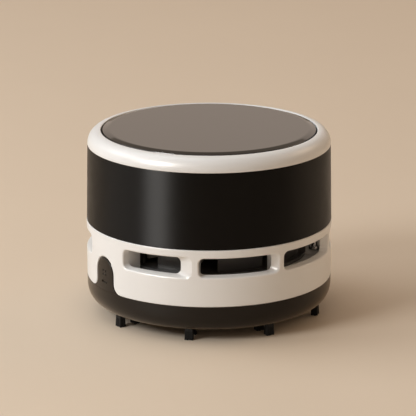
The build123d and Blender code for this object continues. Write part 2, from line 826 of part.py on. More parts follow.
with BuildPart() as motor_terminals:
    with Locations((terminal_ring, 0, cap_z), (-terminal_ring, 0, cap_z)):
        Box(terminal_t, terminal_w, cap_t + terminal_rise, align=STANDING)
motor_terminals.part.label = "motor_terminals"
export_step(motor_terminals.part, "parts/motor_terminals.step")

core_r = can_in_r - magnet_t - rotor_air
core_z = magnet_z + core_inset
core_h = magnet_h - 2 * core_inset - commutator_h / 2
commutator_z = cap_z - seat_gap - commutator_h

with BuildPart() as motor_brushes:
    for side in (1, -1):
        with Locations((0, side * (commutator_r + run_gap + brush_t / 2), cap_z)):
            Box(brush_w, brush_t, brush_h, align=HANGING)
motor_brushes.part.label = "motor_brushes"
export_step(motor_brushes.part, "parts/motor_brushes.step")

with BuildPart() as motor_sleeve:
    with BuildSketch(Plane.XY.offset(mount_top_z)):
        Circle(motor_r + press_gap + sleeve_t)
        Circle(motor_r + press_gap, mode=Mode.SUBTRACT)
    extrude(amount=sleeve_height)
motor_sleeve.part.label = "motor_sleeve"
export_step(motor_sleeve.part, "parts/motor_sleeve.step")

with BuildPart() as motor_screws:
    with Locations(*[(x, y, z + mount_t / 2) for x, y, z in motor_screw_spots]):
        Cylinder(motor_screw_head_r, mount_t / 2 - drop_gap, align=HANGING)
        Cylinder(motor_screw_r, mount_t / 2 + can_wall + motor_screw_bite, align=STANDING)
motor_screws.part.label = "motor_screws"
export_step(motor_screws.part, "parts/motor_screws.step")

# ==== rotor ====
fan_z = ledge_top_z + shroud_floor + fan_gap
fan_top_z = mount_z - 2 * fan_gap
shaft_z = fan_z - shaft_end
shaft_top_z = motor_top_z + boss_rise - shaft_sink

with BuildPart() as motor_shaft:
    disc(shaft_r, shaft_top_z - shaft_z, shaft_z)
    chamfer(motor_shaft.edges().filter_by(GeomType.CIRCLE), shaft_r / 5)
motor_shaft.part.label = "motor_shaft"
export_step(motor_shaft.part, "parts/motor_shaft.step")

with BuildPart() as armature_core:
    with BuildSketch(Plane.XY.offset(core_z)):
        Circle(core_r)
        with PolarLocations(core_r - pole_tip, 3, start_angle=60):
            Rectangle(core_r, pole_gap, mode=Mode.SUBTRACT)
        with PolarLocations(core_r / 2, 3, start_angle=60):
            Circle(pole_window_r, mode=Mode.SUBTRACT)
        Circle(2 * shaft_r)
        Circle(shaft_r + bush_gap, mode=Mode.SUBTRACT)
    extrude(amount=core_h)
armature_core.part.label = "armature_core"
export_step(armature_core.part, "parts/armature_core.step")

with BuildPart() as armature_windings:
    low_z = core_z - winding_below - press_gap
    for level, height in ((low_z, winding_below), (core_z + core_h + press_gap, winding_above)):
        with BuildSketch(Plane.XY.offset(level)):
            with PolarLocations(core_r / 2, 3):
                Ellipse(winding_t / 2, winding_w / 2)
            Circle(2 * shaft_r)
            Circle(shaft_r + run_gap, mode=Mode.SUBTRACT)
        extrude(amount=height)
armature_windings.part.label = "armature_windings"
export_step(armature_windings.part, "parts/armature_windings.step")

with BuildPart() as commutator:
    with BuildSketch(Plane.XY.offset(commutator_z)):
        Circle(commutator_r)
        with PolarLocations(commutator_r, 3):
            Rectangle(2 * commutator_slit_d, commutator_slit_w, mode=Mode.SUBTRACT)
        Circle(shaft_r + bush_gap, mode=Mode.SUBTRACT)
    extrude(amount=commutator_h)
commutator.part.label = "commutator"
export_step(commutator.part, "parts/commutator.step")

with BuildPart() as impeller:
    with BuildSketch(Plane.XY.offset(fan_top_z - fan_back_t)):
        Circle(fan_r)
    extrude(amount=fan_back_t)
    with BuildSketch(Plane.XY.offset(fan_z)):
        Circle(fan_hub_r)
    extrude(amount=fan_top_z - fan_z)
    for i in range(fan_blades):
        turn = 360 / fan_blades * i
        with BuildSketch(Plane.XY.offset(fan_z).rotated((0, 0, turn))):
            with BuildLine():
                tip = Vector(fan_r, 0).rotate(Axis.Z, fan_sweep)
                RadiusArc((fan_eye_r, 0), tip, fan_curve)
            trace(line_width=fan_blade_t)
            Circle(fan_r - fan_edge, mode=Mode.INTERSECT)
        extrude(amount=fan_top_z - fan_back_t / 2 - fan_z)
    with Locations((0, 0, fan_z - cut_past)):
        Cylinder(shaft_r + bush_gap, fan_top_z, align=STANDING, mode=Mode.SUBTRACT)
impeller.part.label = "impeller"
export_step(impeller.part, "parts/impeller.step")

# ==== battery ====
with BuildPart() as battery_cell:
    with Locations(Location((0, cell_y, cell_z), (0, 90, 0))):
        Cylinder(cell_r, cell_length)
    fillet(battery_cell.edges().filter_by(GeomType.CIRCLE), cell_round)
battery_cell.part.label = "battery_cell"
export_step(battery_cell.part, "parts/battery_cell.step")

contact_x = cell_length / 2 + contact_t / 2
lead_x = cell_length / 2 + contact_t + lead_r
lead_top_z = motor_top_z - lead_drop
lead_pad_x = board_w / 2 - lead_pad_inset
lead_pad_y = board_edge - board_d + lead_pad_gap

with BuildPart() as battery_contacts:
    with Locations((contact_x, cell_y, cell_z + contact_h / 4), (-contact_x, cell_y, cell_z + contact_h / 4)):
        Box(contact_t, contact_w, contact_h)
battery_contacts.part.label = "battery_contacts"
export_step(battery_contacts.part, "parts/battery_contacts.step")


def lead(points):
    """Insulated wire along straight runs with round bends."""
    with BuildPart() as wire:
        with BuildLine() as route:
            FilletPolyline(*points, radius=lead_bend)
        with BuildSketch(Plane(origin=route.line @ 0, z_dir=route.line % 0)):
            Circle(lead_r)
        sweep()
    return wire.part


with BuildPart() as battery_leads:
    for side in (1, -1):
        add(
            lead(
                [
                    (side * lead_x, cell_y, cell_z),
                    (side * lead_x, cell_y, lead_top_z),
                    (side * lead_pad_x, lead_pad_y, lead_top_z),
                    (side * lead_pad_x, lead_pad_y, board_top_z + press_gap),
                ]
            )
        )
battery_leads.part.label = "battery_leads"
export_step(battery_leads.part, "parts/battery_leads.step")

motor_lead_z = motor_top_z + terminal_rise / 2

with BuildPart() as motor_leads:
    for side in (1, -1):
        add(
            lead(
                [
                    (side * terminal_ring, terminal_w / 2 + press_gap, motor_lead_z),
                    (side * terminal_ring, motor_r + motor_lead_reach, motor_lead_z),
                    (side * terminal_ring, motor_r + motor_lead_reach, board_top_z + press_gap),
                ]
            )
        )
motor_leads.part.label = "motor_leads"
export_step(motor_leads.part, "parts/motor_leads.step")

# ==== circuit board ====
with BuildPart() as circuit_board:
    with Locations((0, board_y, board_z)):
        Box(board_w, board_d, board_t, align=STANDING)
    fillet(circuit_board.edges().filter_by(Axis.Z), board_corner)
    with Locations((-post_spread / 2, post_y, board_z), (post_spread / 2, post_y, board_z)):
        Cylinder(screw_r + drop_gap, board_t, align=STANDING, mode=Mode.SUBTRACT)
circuit_board.part.label = "circuit_board"
export_step(circuit_board.part, "parts/circuit_board.step")

with BuildPart() as board_components:
    with Locations((0, board_y, board_top_z)):
        Box(chip_w, chip_d, chip_h, align=STANDING)
    with Locations((chip_space, board_y, board_top_z)):
        Box(coil_w, coil_w, coil_h, align=STANDING)
    with Locations((-chip_space, board_y, board_top_z)):
        Box(diode_w, diode_d, diode_h, align=STANDING)
board_components.part.label = "board_components"
export_step(board_components.part, "parts/board_components.step")

with BuildPart() as board_screws:
    board_screw = self_tapper(board_t + board_rise - board_screw_margin)
    with Locations((-post_spread / 2, post_y, board_top_z), (post_spread / 2, post_y, board_top_z)):
        add(board_screw)
board_screws.part.label = "board_screws"
export_step(board_screws.part, "parts/board_screws.step")

socket_y = socket_front - socket_depth

with BuildPart() as charge_port:
    with BuildSketch(Plane.XZ.offset(-socket_front)):
        with Locations((0, socket_z)):
            SlotOverall(socket_w, socket_h)
    extrude(amount=socket_depth)
    with BuildSketch(Plane.XZ.offset(-socket_front)):
        with Locations((0, socket_z)):
            SlotOverall(socket_w - 2 * socket_shell, socket_h - 2 * socket_shell)
    extrude(amount=socket_depth - socket_back, mode=Mode.SUBTRACT)
    with Locations((0, socket_y + socket_back, socket_z)):
        Box(
            socket_w - 2 * (socket_shell + tongue_side),
            socket_depth - socket_back - tongue_front,
            tongue_t,
            align=(Align.CENTER, Align.MIN, Align.CENTER),
        )
charge_port.part.label = "charge_port"
export_step(charge_port.part, "parts/charge_port.step")

with BuildPart() as charge_led:
    with Locations((-led_x, board_edge - led_w / 2 - drop_gap, board_top_z)):
        Box(led_w, led_w, 2 * pipe_r, align=STANDING)
charge_led.part.label = "charge_led"
export_step(charge_led.part, "parts/charge_led.step")

with BuildPart() as light_pipe:
    with Locations(Location((-led_x, board_edge + drop_gap, pipe_z), (-90, 0, 0))):
        Cylinder(pipe_r, body_r, align=STANDING)
    with Locations((0, 0, mount_z)):
        Cylinder(band_top_r - pipe_inset, band_height, align=STANDING, mode=Mode.INTERSECT)
light_pipe.part.label = "light_pipe"
export_step(light_pipe.part, "parts/light_pipe.step")

# ==== button deck and switch ====
with BuildPart() as button_deck:
    disc(band_in_r - drop_gap, deck_t, deck_z)
    with Locations(*spots(pillar_ring, pillar_angles, deck_top_z)):
        CounterSinkHole(screw_r + drop_gap, screw_head_r + drop_gap, deck_t, 90)
    with Locations((0, 0, deck_z)):
        Cylinder(cable_hole_r, deck_t, align=STANDING, mode=Mode.SUBTRACT)
    with Locations((0, 0, deck_top_z)):
        with PolarLocations(spring_ring, spring_count, start_angle=30):
            Cylinder(peg_r, peg_height, align=STANDING)
button_deck.part.label = "button_deck"
export_step(button_deck.part, "parts/button_deck.step")

with BuildPart() as deck_screws:
    with Locations(*spots(pillar_ring, pillar_angles, deck_top_z)):
        Cylinder(screw_r, deck_screw_length, align=HANGING)
        Cone(screw_r, screw_head_r, screw_head_r - screw_r, align=HANGING)
deck_screws.part.label = "deck_screws"
export_step(deck_screws.part, "parts/deck_screws.step")

with BuildPart() as housing_screws:
    housing_screw = self_tapper(screw_length)
    with Locations(*[Location((*around(pillar_ring, a), lower_seat_z), (180, 0, 0)) for a in pillar_angles]):
        add(housing_screw)
housing_screws.part.label = "housing_screws"
export_step(housing_screws.part, "parts/housing_screws.step")

plate_z = plate_top_z - plate_t
pad_z = plate_z - pad_t
carrier_z = pad_z - carrier_t
switch_top_z = carrier_z - button_travel - seat_gap
plunger_seat_z = deck_top_z + switch_floor

with BuildPart() as power_switch:
    with Locations((0, 0, deck_top_z)):
        Box(switch_w, switch_w, switch_height, align=STANDING)
        fillet(power_switch.edges().filter_by(Axis.Z), switch_corner)
        Cylinder(plunger_r + switch_wall, switch_top_z - deck_top_z, align=STANDING)
    with Locations((0, 0, plunger_seat_z)):
        Cylinder(plunger_r + plunger_gap, switch_top_z, align=STANDING, mode=Mode.SUBTRACT)
    with Locations((-switch_pin_x, 0, deck_top_z), (switch_pin_x, 0, deck_top_z)):
        Box(switch_pin_t, switch_pin_w, deck_t + switch_pin_reach, align=HANGING)
power_switch.part.label = "power_switch"
export_step(power_switch.part, "parts/power_switch.step")

with BuildPart() as switch_plunger:
    plunger_z = plunger_seat_z + button_travel + plunger_spare
    disc(plunger_r, carrier_z - press_gap - plunger_z, plunger_z)
    fillet(switch_plunger.edges().sort_by(Axis.Z)[-1], soft_edge)
switch_plunger.part.label = "switch_plunger"
export_step(switch_plunger.part, "parts/switch_plunger.step")

# ==== push plate ====
flange_top_z = shoulder_z - drop_gap
flange_z = flange_top_z - flange_t

with BuildPart() as button_carrier:
    revolve(
        ring_profile(
            [
                (0, carrier_z),
                (plate_r - skirt_t, carrier_z),
                (plate_r - skirt_t, flange_z),
                (plate_r + flange_w, flange_z),
                (plate_r + flange_w, flange_top_z),
                (plate_r, flange_top_z),
                (plate_r, pad_z),
                (0, pad_z),
            ]
        ),
        axis=Axis.Z,
    )
    with Locations((0, 0, carrier_z)):
        with PolarLocations(spring_ring, spring_count, start_angle=30):
            Cylinder(peg_r, carrier_z - deck_top_z - peg_height - button_travel - seat_gap, align=HANGING)
button_carrier.part.label = "button_carrier"
export_step(button_carrier.part, "parts/button_carrier.step")

with BuildPart() as plate_pad:
    disc(plate_r - pad_inset, pad_t, pad_z)
plate_pad.part.label = "plate_pad"
export_step(plate_pad.part, "parts/plate_pad.step")

with BuildPart() as top_plate:
    revolve(
        ring_profile(
            [
                (0, plate_z),
                (plate_r, plate_z),
                (plate_r, plate_top_z - plate_bevel_h),
                (plate_r - plate_bevel_w, plate_top_z),
                (0, plate_top_z),
            ]
        ),
        axis=Axis.Z,
    )
top_plate.part.label = "top_plate"
export_step(top_plate.part, "parts/top_plate.step")

spring_base_z = deck_top_z + spring_wire_r
spring_height = carrier_z - spring_wire_r - bush_gap - spring_base_z

with BuildPart() as one_spring:
    with BuildLine() as coil:
        Helix(spring_height / spring_turns, spring_height, spring_r)
    with BuildSketch(Plane(origin=coil.line @ 0, z_dir=coil.line % 0)):
        Circle(spring_wire_r)
    sweep()

with BuildPart() as return_springs:
    with Locations((0, 0, spring_base_z)):
        with PolarLocations(spring_ring, spring_count, start_angle=30):
            add(one_spring.part)
return_springs.part.label = "return_springs"
export_step(return_springs.part, "parts/return_springs.step")
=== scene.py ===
"""Desktop mini vacuum cleaner: moulded shells, brush tufts and finishes around its fixed frame.

Everything is in metres, in the frame's own axes: the table is z = 0 and the release tab faces -Y.
Angles are counted from the front and grow to the right, as seen from outside.
"""

import contextlib
import json
import math
import random

import bmesh
import bpy
from bpy.props import FloatProperty, FloatVectorProperty, IntProperty, PointerProperty
from bpy.types import Operator, Panel, PropertyGroup
from mathutils import Matrix, Vector


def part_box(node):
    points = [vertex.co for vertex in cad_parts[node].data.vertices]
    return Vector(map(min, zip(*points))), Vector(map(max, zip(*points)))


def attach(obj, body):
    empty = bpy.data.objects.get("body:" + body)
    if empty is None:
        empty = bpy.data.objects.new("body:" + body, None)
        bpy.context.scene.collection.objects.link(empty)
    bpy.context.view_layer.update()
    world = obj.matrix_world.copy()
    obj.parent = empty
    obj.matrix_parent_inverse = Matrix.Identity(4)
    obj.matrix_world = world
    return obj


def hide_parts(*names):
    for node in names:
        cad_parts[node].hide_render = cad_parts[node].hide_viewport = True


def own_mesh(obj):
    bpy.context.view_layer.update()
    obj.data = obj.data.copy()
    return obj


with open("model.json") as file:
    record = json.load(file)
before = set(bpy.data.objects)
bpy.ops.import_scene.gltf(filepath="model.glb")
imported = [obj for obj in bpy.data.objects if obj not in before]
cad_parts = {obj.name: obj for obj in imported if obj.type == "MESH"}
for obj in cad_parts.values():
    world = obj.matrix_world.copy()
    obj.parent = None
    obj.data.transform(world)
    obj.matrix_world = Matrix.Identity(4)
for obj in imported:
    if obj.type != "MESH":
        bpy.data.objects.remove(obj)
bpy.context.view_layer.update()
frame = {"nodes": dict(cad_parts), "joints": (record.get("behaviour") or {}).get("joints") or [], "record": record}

bl_info = {
    "name": "Desktop mini vacuum cleaner",
    "version": (1, 0, 0),
    "blender": (4, 5, 0),
    "location": "3D View > Sidebar > Desk vacuum",
    "description": "Builds the shells, brush tufts and finishes of a small desk vacuum around its frame",
    "category": "Object",
}

MM = 0.001
TURN = 2 * math.pi
NEAR = 0.002 * MM
CLEAR = 2 * MM  # how far a cutting tool stands out of what it cuts
SKIN = 0.2 * MM  # depth within which a point counts as on the outside


# ---- places read from the frame ----
def reach(node, height=None):
    """Largest distance of a frame node from the axis, at one height or anywhere."""
    return max(distances(node, height))


def bore(node, height=None):
    """Smallest distance of a frame node from the axis, at one height or anywhere."""
    return min(distances(node, height))


def distances(node, height):
    points = [v.co for v in frame["nodes"][node].data.vertices]
    return [p.xy.length for p in points if height is None or abs(p.z - height) < 0.05 * MM]


def low(node):
    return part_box(node)[0].z


def high(node):
    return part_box(node)[1].z


BASE_FOOT = low("base_tray")
SEAM = low("release_tab")
HOUSING_FOOT = low("lower_housing")
BAND_FOOT = low("body_band")
CROWN_FOOT = high("body_band")
CROWN_TOP = high("top_ring")
PLATE_FOOT = low("top_plate")
PLATE_TOP = high("top_plate")
TAB_TOP = high("release_tab")
FLOOR_TOP = BASE_FOOT + 1.6 * MM  # inside of the dust bowl
MOUNT_FOOT = low("motor_mount")
MOUNT_TOP = MOUNT_FOOT + 2.4 * MM  # top of the mount's plate, under its collar and saddles
LEDGE_TOP = low("fan_shroud")
DECK_FOOT = low("button_deck")
BASE_R = reach("base_tray")
BODY_R = reach("lower_housing")
HOUSING_IN_R = bore("lower_housing", HOUSING_FOOT)
BAND_R = reach("body_band")
BAND_TOP_R = reach("body_band", CROWN_FOOT)
BAND_IN_R = bore("body_band", CROWN_FOOT)
BORE_R = bore("top_ring", CROWN_TOP)
PLATE_R = reach("top_plate")
TAB_IN_R = bore("release_tab")
TUFT_HALF = 1.36 * MM  # from a tuft's centre to its outermost corner


def polar(radius, angle, height=0.0):
    """Point at an angle from the front."""
    return Vector((radius * math.sin(angle), -radius * math.cos(angle), height))


# ---- sizes and colours that a user would change ----
def length(label, note, size):
    return FloatProperty(name=label, description=note, default=size * MM, min=0.0, unit="LENGTH")


def angle(label, note, degrees):
    return FloatProperty(name=label, description=note, default=math.radians(degrees), subtype="ANGLE")


def colour(label, note, rgb):
    limits = {"min": 0.0, "max": 1.0}
    return FloatVectorProperty(name=label, description=note, default=rgb, subtype="COLOR", **limits)


class HousingSizes(PropertyGroup):
    """Slots, ribs and edges of the white lower housing."""

    slot_count: IntProperty(name="Slots", description="Exhaust slots round the housing", default=8, min=1)
    slot_pitch: angle("Slot pitch", "Angle between the posts on each side", 41.5)
    slot_back: angle("Back post", "First post of each side, from the back", 4.3)
    slot_post: angle("Slot post", "Angle of wall left between two slots", 2.8)
    slot_front: angle("Front slots", "Where the two slots beside the tab end", 14.1)
    slot_ramp: angle("Slot ramp", "Angle over which the right end slopes in", 2.2)
    first_ramp: angle("First ramp", "The same for the slot right of the tab", 6.2)
    slot_height: length("Slot height", "Height of a slot at the inner wall", 5.9)
    slot_flare: length("Slot flare", "Growth of each flank at the left end", 0.45)
    slot_scoop: length("Slot scoop", "Growth of each flank at the first slot's right end", 0.8)
    slot_corner: length("Slot corner", "Rounding of a slot's corners", 1.9)
    slot_rim: length("Slot rim", "Rounding of a slot's outer edge", 0.55)
    slot_rise: length("Slot rise", "Middle of the slots above the seam", 13.85)
    lip_round: length("Lip rounding", "Rounding of the white lip under the band", 0.45)
    fin_thickness: length("Fin thickness", "Air guide fins beside each slot", 1.2)
    fin_depth: length("Fin depth", "How far the fins stand inwards", 5.6)
    ledge_reach: length("Ledge width", "Width of the ledge that carries the fan chamber", 9.2)
    ledge_thickness: length("Ledge thickness", "Thickness of that ledge", 1.2)


class TabSizes(PropertyGroup):
    """Release tab and the notch around it."""

    width: length("Tab width", "Width of the tongue", 10.3)
    flare: length("Foot flare", "Concave rounding at the tongue's foot", 3.7)
    gap: length("Gap", "Gap between the tab and the housing", 0.45)
    swing_room: length("Swing room", "Room above the flared foot, which rises under a press", 0.32)
    edge_round: length("Edge rounding", "Rounding of the tab's outer edge", 0.3)
    notch_round: length("Notch rounding", "Rounding of the notch's outer edge", 0.15)
    dimple: length("Dimple", "Radius of the four grip dimples", 0.42)
    dimple_pitch: length("Dimple pitch", "Distance between the grip dimples", 1.7)


class SpringSizes(PropertyGroup):
    """Return springs between the deck and the push plate's carrier."""

    count: IntProperty(name="Springs", description="Springs round the axis", default=3, min=1)
    ring: length("Ring", "Distance of the springs from the axis", 24.0)
    radius: length("Coil radius", "Radius of a spring at the middle of its wire", 2.4)
    wire: length("Wire radius", "Radius of the spring wire", 0.3)
    turns: FloatProperty(name="Turns", description="Turns of a spring", default=3.5, min=1.0)


class BrushSizes(PropertyGroup):
    """Tufts that the cleaner stands on."""

    count: IntProperty(name="Tufts", description="Tufts on each ring", default=8, min=1)
    start: angle("First tuft", "Place of the first tuft", 4.6)
    pitch: angle("Tuft pitch", "Angle from one tuft to the next", 42.6)
    width: length("Tuft width", "Width of a tuft at its root", 2.45)
    depth: length("Tuft depth", "Thickness of a tuft at its root", 1.9)
    splay: length("Splay", "How far the outer bristles lean out", 0.22)
    bristle: length("Bristle", "Radius of one bristle", 0.17)
    across: IntProperty(name="Bristles across", description="Over a tuft's width", default=8, min=2)
    deep: IntProperty(name="Bristles deep", description="Through a tuft's thickness", default=6, min=2)


class FinishColours(PropertyGroup):
    """Colours of the moulded shells and of the stage."""

    shell: colour("Shell", "White lower housing and crown", (0.81, 0.808, 0.80))
    band: colour("Band", "Satin band", (0.0014, 0.0009, 0.0006))
    base: colour("Base", "Dust base and release tab", (0.0095, 0.0064, 0.0040))
    plate: colour("Plate", "Smoked push plate", (0.010, 0.0092, 0.0085))
    floor: colour("Floor", "Table top", (0.74, 0.615, 0.48))
    sky: colour("Surroundings", "What lights the scene from all sides", (0.86, 0.69, 0.54))


class CameraPlace(PropertyGroup):
    """Where the picture is taken from."""

    azimuth: angle("Azimuth", "Camera's angle from the front", 57.4)
    elevation: angle("Elevation", "Camera's angle above the table", 15.577)
    distance: length("Distance", "From the camera to its target", 1007.8)
    focal: FloatProperty(name="Focal length", description="Lens in millimetres", default=248.5)
    target_height: length("Target height", "Height that the camera looks at", 36.07)
    target_side: FloatProperty(
        name="Target offset", description="Sideways offset of the target", default=-0.387 * MM, unit="LENGTH"
    )


class DeskVacuumSettings(PropertyGroup):
    """All the settings of the desk vacuum."""

    housing: PointerProperty(type=HousingSizes)
    tab: PointerProperty(type=TabSizes)
    springs: PointerProperty(type=SpringSizes)
    brush: PointerProperty(type=BrushSizes)
    colours: PointerProperty(type=FinishColours)
    camera: PointerProperty(type=CameraPlace)


# ---- modelling, as by hand ----
def choose(*pieces):
    """Selects some pieces and nothing else. The first one is the active piece."""
    bpy.ops.object.select_all(action="DESELECT")
    for piece in pieces:
        piece.select_set(True)
    bpy.context.view_layer.objects.active = pieces[0]


@contextlib.contextmanager
def edit(piece):
    """Edit mode on one piece, with nothing selected."""
    choose(piece)
    bpy.ops.object.mode_set(mode="EDIT")
    bpy.ops.mesh.select_mode(type="VERT")
    bpy.ops.mesh.select_all(action="DESELECT")
    yield
    bpy.ops.object.mode_set(mode="OBJECT")


def pick(kind, test=lambda item: True):
    """Selects the vertices, edges or faces in edit mode that pass a test."""
    bpy.ops.mesh.select_mode(type=kind)
    bpy.ops.mesh.select_all(action="DESELECT")
    mesh = bpy.context.object.data
    shape = bmesh.from_edit_mesh(mesh)
    for item in {"VERT": shape.verts, "EDGE": shape.edges, "FACE": shape.faces}[kind]:
        item.select_set(test(item))
    shape.select_flush_mode()
    bmesh.update_edit_mesh(mesh)


def is_sharp(edge):
    """True for an edge that turns by more than 40 degrees."""
    return len(edge.link_faces) == 2 and edge.calc_face_angle() > math.radians(40)


def bevel(width, segments):
    """Rounds the picked edges."""
    bpy.ops.mesh.bevel(offset=width, segments=segments, affect="EDGES", clamp_overlap=False)


def middle(item):
    """Centre of an edge or a face."""
    return sum((v.co for v in item.verts), Vector()) / len(item.verts)


def named(name):
    """The object just added, named, with its place moved into its mesh."""
    piece = bpy.context.object
    piece.name = name
    piece.data.name = name
    bpy.ops.object.transform_apply(location=True, rotation=True, scale=True)
    return piece


def draw(name, corners, place, segments=6):
    """Flat closed outline, extruded corner by corner. A corner is (across, up, rounding)."""
    points = [place(across, up) for across, up, _ in corners]
    bpy.ops.object.select_all(action="DESELECT")
    bpy.ops.mesh.primitive_plane_add(size=MM, location=points[0])
    piece = named(name)
    with edit(piece):
        bpy.ops.mesh.select_all(action="SELECT")
        bpy.ops.mesh.merge(type="CENTER")
        for here, there in zip(points, points[1:] + points[:1]):
            bpy.ops.mesh.extrude_region_move(TRANSFORM_OT_translate={"value": there - here})
        bpy.ops.mesh.select_all(action="SELECT")
        bpy.ops.mesh.remove_doubles(threshold=NEAR)
        bpy.ops.mesh.edge_face_add()
        for (_, _, rounding), point in zip(corners, points):
            if rounding:
                pick("VERT", lambda v: (v.co - point).length < NEAR)
                bpy.ops.mesh.bevel(offset=rounding, segments=segments, affect="VERTICES")
    return piece


def close_up():
    """Merges doubled points in edit mode and turns every face outwards."""
    bpy.ops.mesh.select_all(action="SELECT")
    bpy.ops.mesh.remove_doubles(threshold=NEAR)
    bpy.ops.mesh.dissolve_degenerate(threshold=NEAR)
    bpy.ops.mesh.select_all(action="SELECT")
    bpy.ops.mesh.normals_make_consistent(inside=False)


def turned(name, corners, segments=6, stretch=1.0):
    """Round piece spun from its outline in radius and height. A stretch makes its rounds elliptical."""
    squat = [(radius, height / stretch, rounding) for radius, height, rounding in corners]
    piece = draw(name, squat, lambda r, z: Vector((r, 0, z)), segments)
    with edit(piece):
        pick("FACE")
        bpy.ops.transform.resize(value=(1, 1, stretch), center_override=(0, 0, 0))
        bpy.ops.mesh.delete(type="ONLY_FACE")
        bpy.ops.mesh.select_all(action="SELECT")
        bpy.ops.mesh.spin(steps=256, angle=TURN, center=(0, 0, 0), axis=(0, 0, 1))
        close_up()
    return piece


def rolled_out(name, corners, radius):
    """The same outline as a straight strip, as long as the circumference, its outside towards -Y."""
    piece = draw(name, corners, lambda r, z: Vector((-math.pi * radius, radius - r, z)), 4)
    with edit(piece):
        pick("FACE")
        bpy.ops.mesh.extrude_region_move(TRANSFORM_OT_translate={"value": (TURN * radius, 0, 0)})
        close_up()
    return piece


def rolled_up(piece, radius, sweep=TURN, columns=240):
    """Cuts a strip into columns and bends it round the axis."""
    half = sweep * radius / 2
    with edit(piece):
        if sweep == TURN:
            pick("FACE", lambda f: abs(abs(middle(f).x) - half) < NEAR)
            bpy.ops.mesh.delete(type="ONLY_FACE")
        for i in range(1, columns):
            bpy.ops.mesh.select_all(action="SELECT")
            bpy.ops.mesh.bisect(plane_co=(half * (2 * i / columns - 1), 0, 0), plane_no=(1, 0, 0))
    modified(piece, "SIMPLE_DEFORM", deform_method="BEND", deform_axis="Z", angle=sweep)
    with edit(piece):
        bpy.ops.mesh.select_all(action="SELECT")
        bpy.ops.transform.translate(value=(0, -radius, 0))
        close_up()
    return piece


def slab(name, corners, front, back, segments):
    """Outline in width and height, given its thickness from front to back along Y."""
    piece = draw(name, corners, lambda x, z: Vector((x, front, z)), segments)
    with edit(piece):
        pick("FACE")
        bpy.ops.mesh.extrude_region_move(TRANSFORM_OT_translate={"value": (0, back - front, 0)})
        close_up()
    return piece


def bar(name, corner, opposite):
    """Block between two corners."""
    bpy.ops.object.select_all(action="DESELECT")
    bpy.ops.mesh.primitive_cube_add(size=1, location=(corner + opposite) / 2, scale=opposite - corner)
    return named(name)


def rod(name, start, end, radius, vertices=48):
    """Round bar between two points."""
    along = end - start
    bpy.ops.object.select_all(action="DESELECT")
    bpy.ops.mesh.primitive_cylinder_add(
        vertices=vertices,
        radius=radius,
        depth=along.length,
        location=(start + end) / 2,
        rotation=along.to_track_quat("Z", "Y").to_euler(),
    )
    return named(name)


def joined(name, parts):
    """One object out of several."""
    choose(*parts)
    if len(parts) > 1:
        bpy.ops.object.join()
    return named(name)


def modified(piece, kind, **settings):
    """Puts one modifier on a piece and applies it."""
    choose(piece)
    bpy.ops.object.modifier_add(type=kind)
    modifier = piece.modifiers[-1]
    for key, value in settings.items():
        setattr(modifier, key, value)
    bpy.ops.object.modifier_apply(modifier=modifier.name)
    return piece


def combine(piece, tool, operation="DIFFERENCE"):
    """Cuts a tool out of a piece, or adds it, and removes the tool."""
    modified(piece, "BOOLEAN", operation=operation, solver="EXACT", object=tool)
    bpy.data.objects.remove(tool)


def copied(part, matrix):
    """Copy of a part with its own mesh, put in its place."""
    copy = part.copy()
    copy.data = part.data.copy()
    copy.data.transform(matrix)
    bpy.context.scene.collection.objects.link(copy)
    return copy


def around(part, radius, angles):
    """Copies of a part made at the origin, each turned outwards at its place round the axis."""
    places = [Matrix.Translation(polar(radius, a)) @ Matrix.Rotation(a, 4, "Z") for a in angles]
    return [copied(part, place) for place in places]


def round_edges(piece, width):
    """Rounds every edge sharper than 50 degrees."""
    modified(piece, "BEVEL", width=width, segments=3, limit_method="ANGLE", angle_limit=math.radians(50))


def smooth(piece, limit=32.0):
    """Smooth shading up to an angle in degrees, weighted towards the large faces."""
    choose(piece)
    bpy.ops.object.shade_smooth_by_angle(angle=math.radians(limit))
    return modified(piece, "WEIGHTED_NORMAL", keep_sharp=True)


# ---- shader maths ----
class Value:
    """A shader socket that adds its Math node when it is used in an expression."""

    def __init__(self, shader, socket):
        self.shader = shader
        self.socket = socket

    def maths(self, operation, *values):
        return self.shader.node("ShaderNodeMath", {"operation": operation}, values)

    def __add__(self, other):
        return self.maths("ADD", self, other)

    __radd__ = __add__

    def __sub__(self, other):
        return self.maths("SUBTRACT", self, other)

    def __rsub__(self, other):
        return self.maths("SUBTRACT", other, self)

    def __mul__(self, other):
        return self.maths("MULTIPLY", self, other)

    def __pow__(self, other):
        return self.maths("POWER", self, other)

    def clamped(self):
        return self.maths("MINIMUM", self.maths("MAXIMUM", self, 0.0), 1.0)


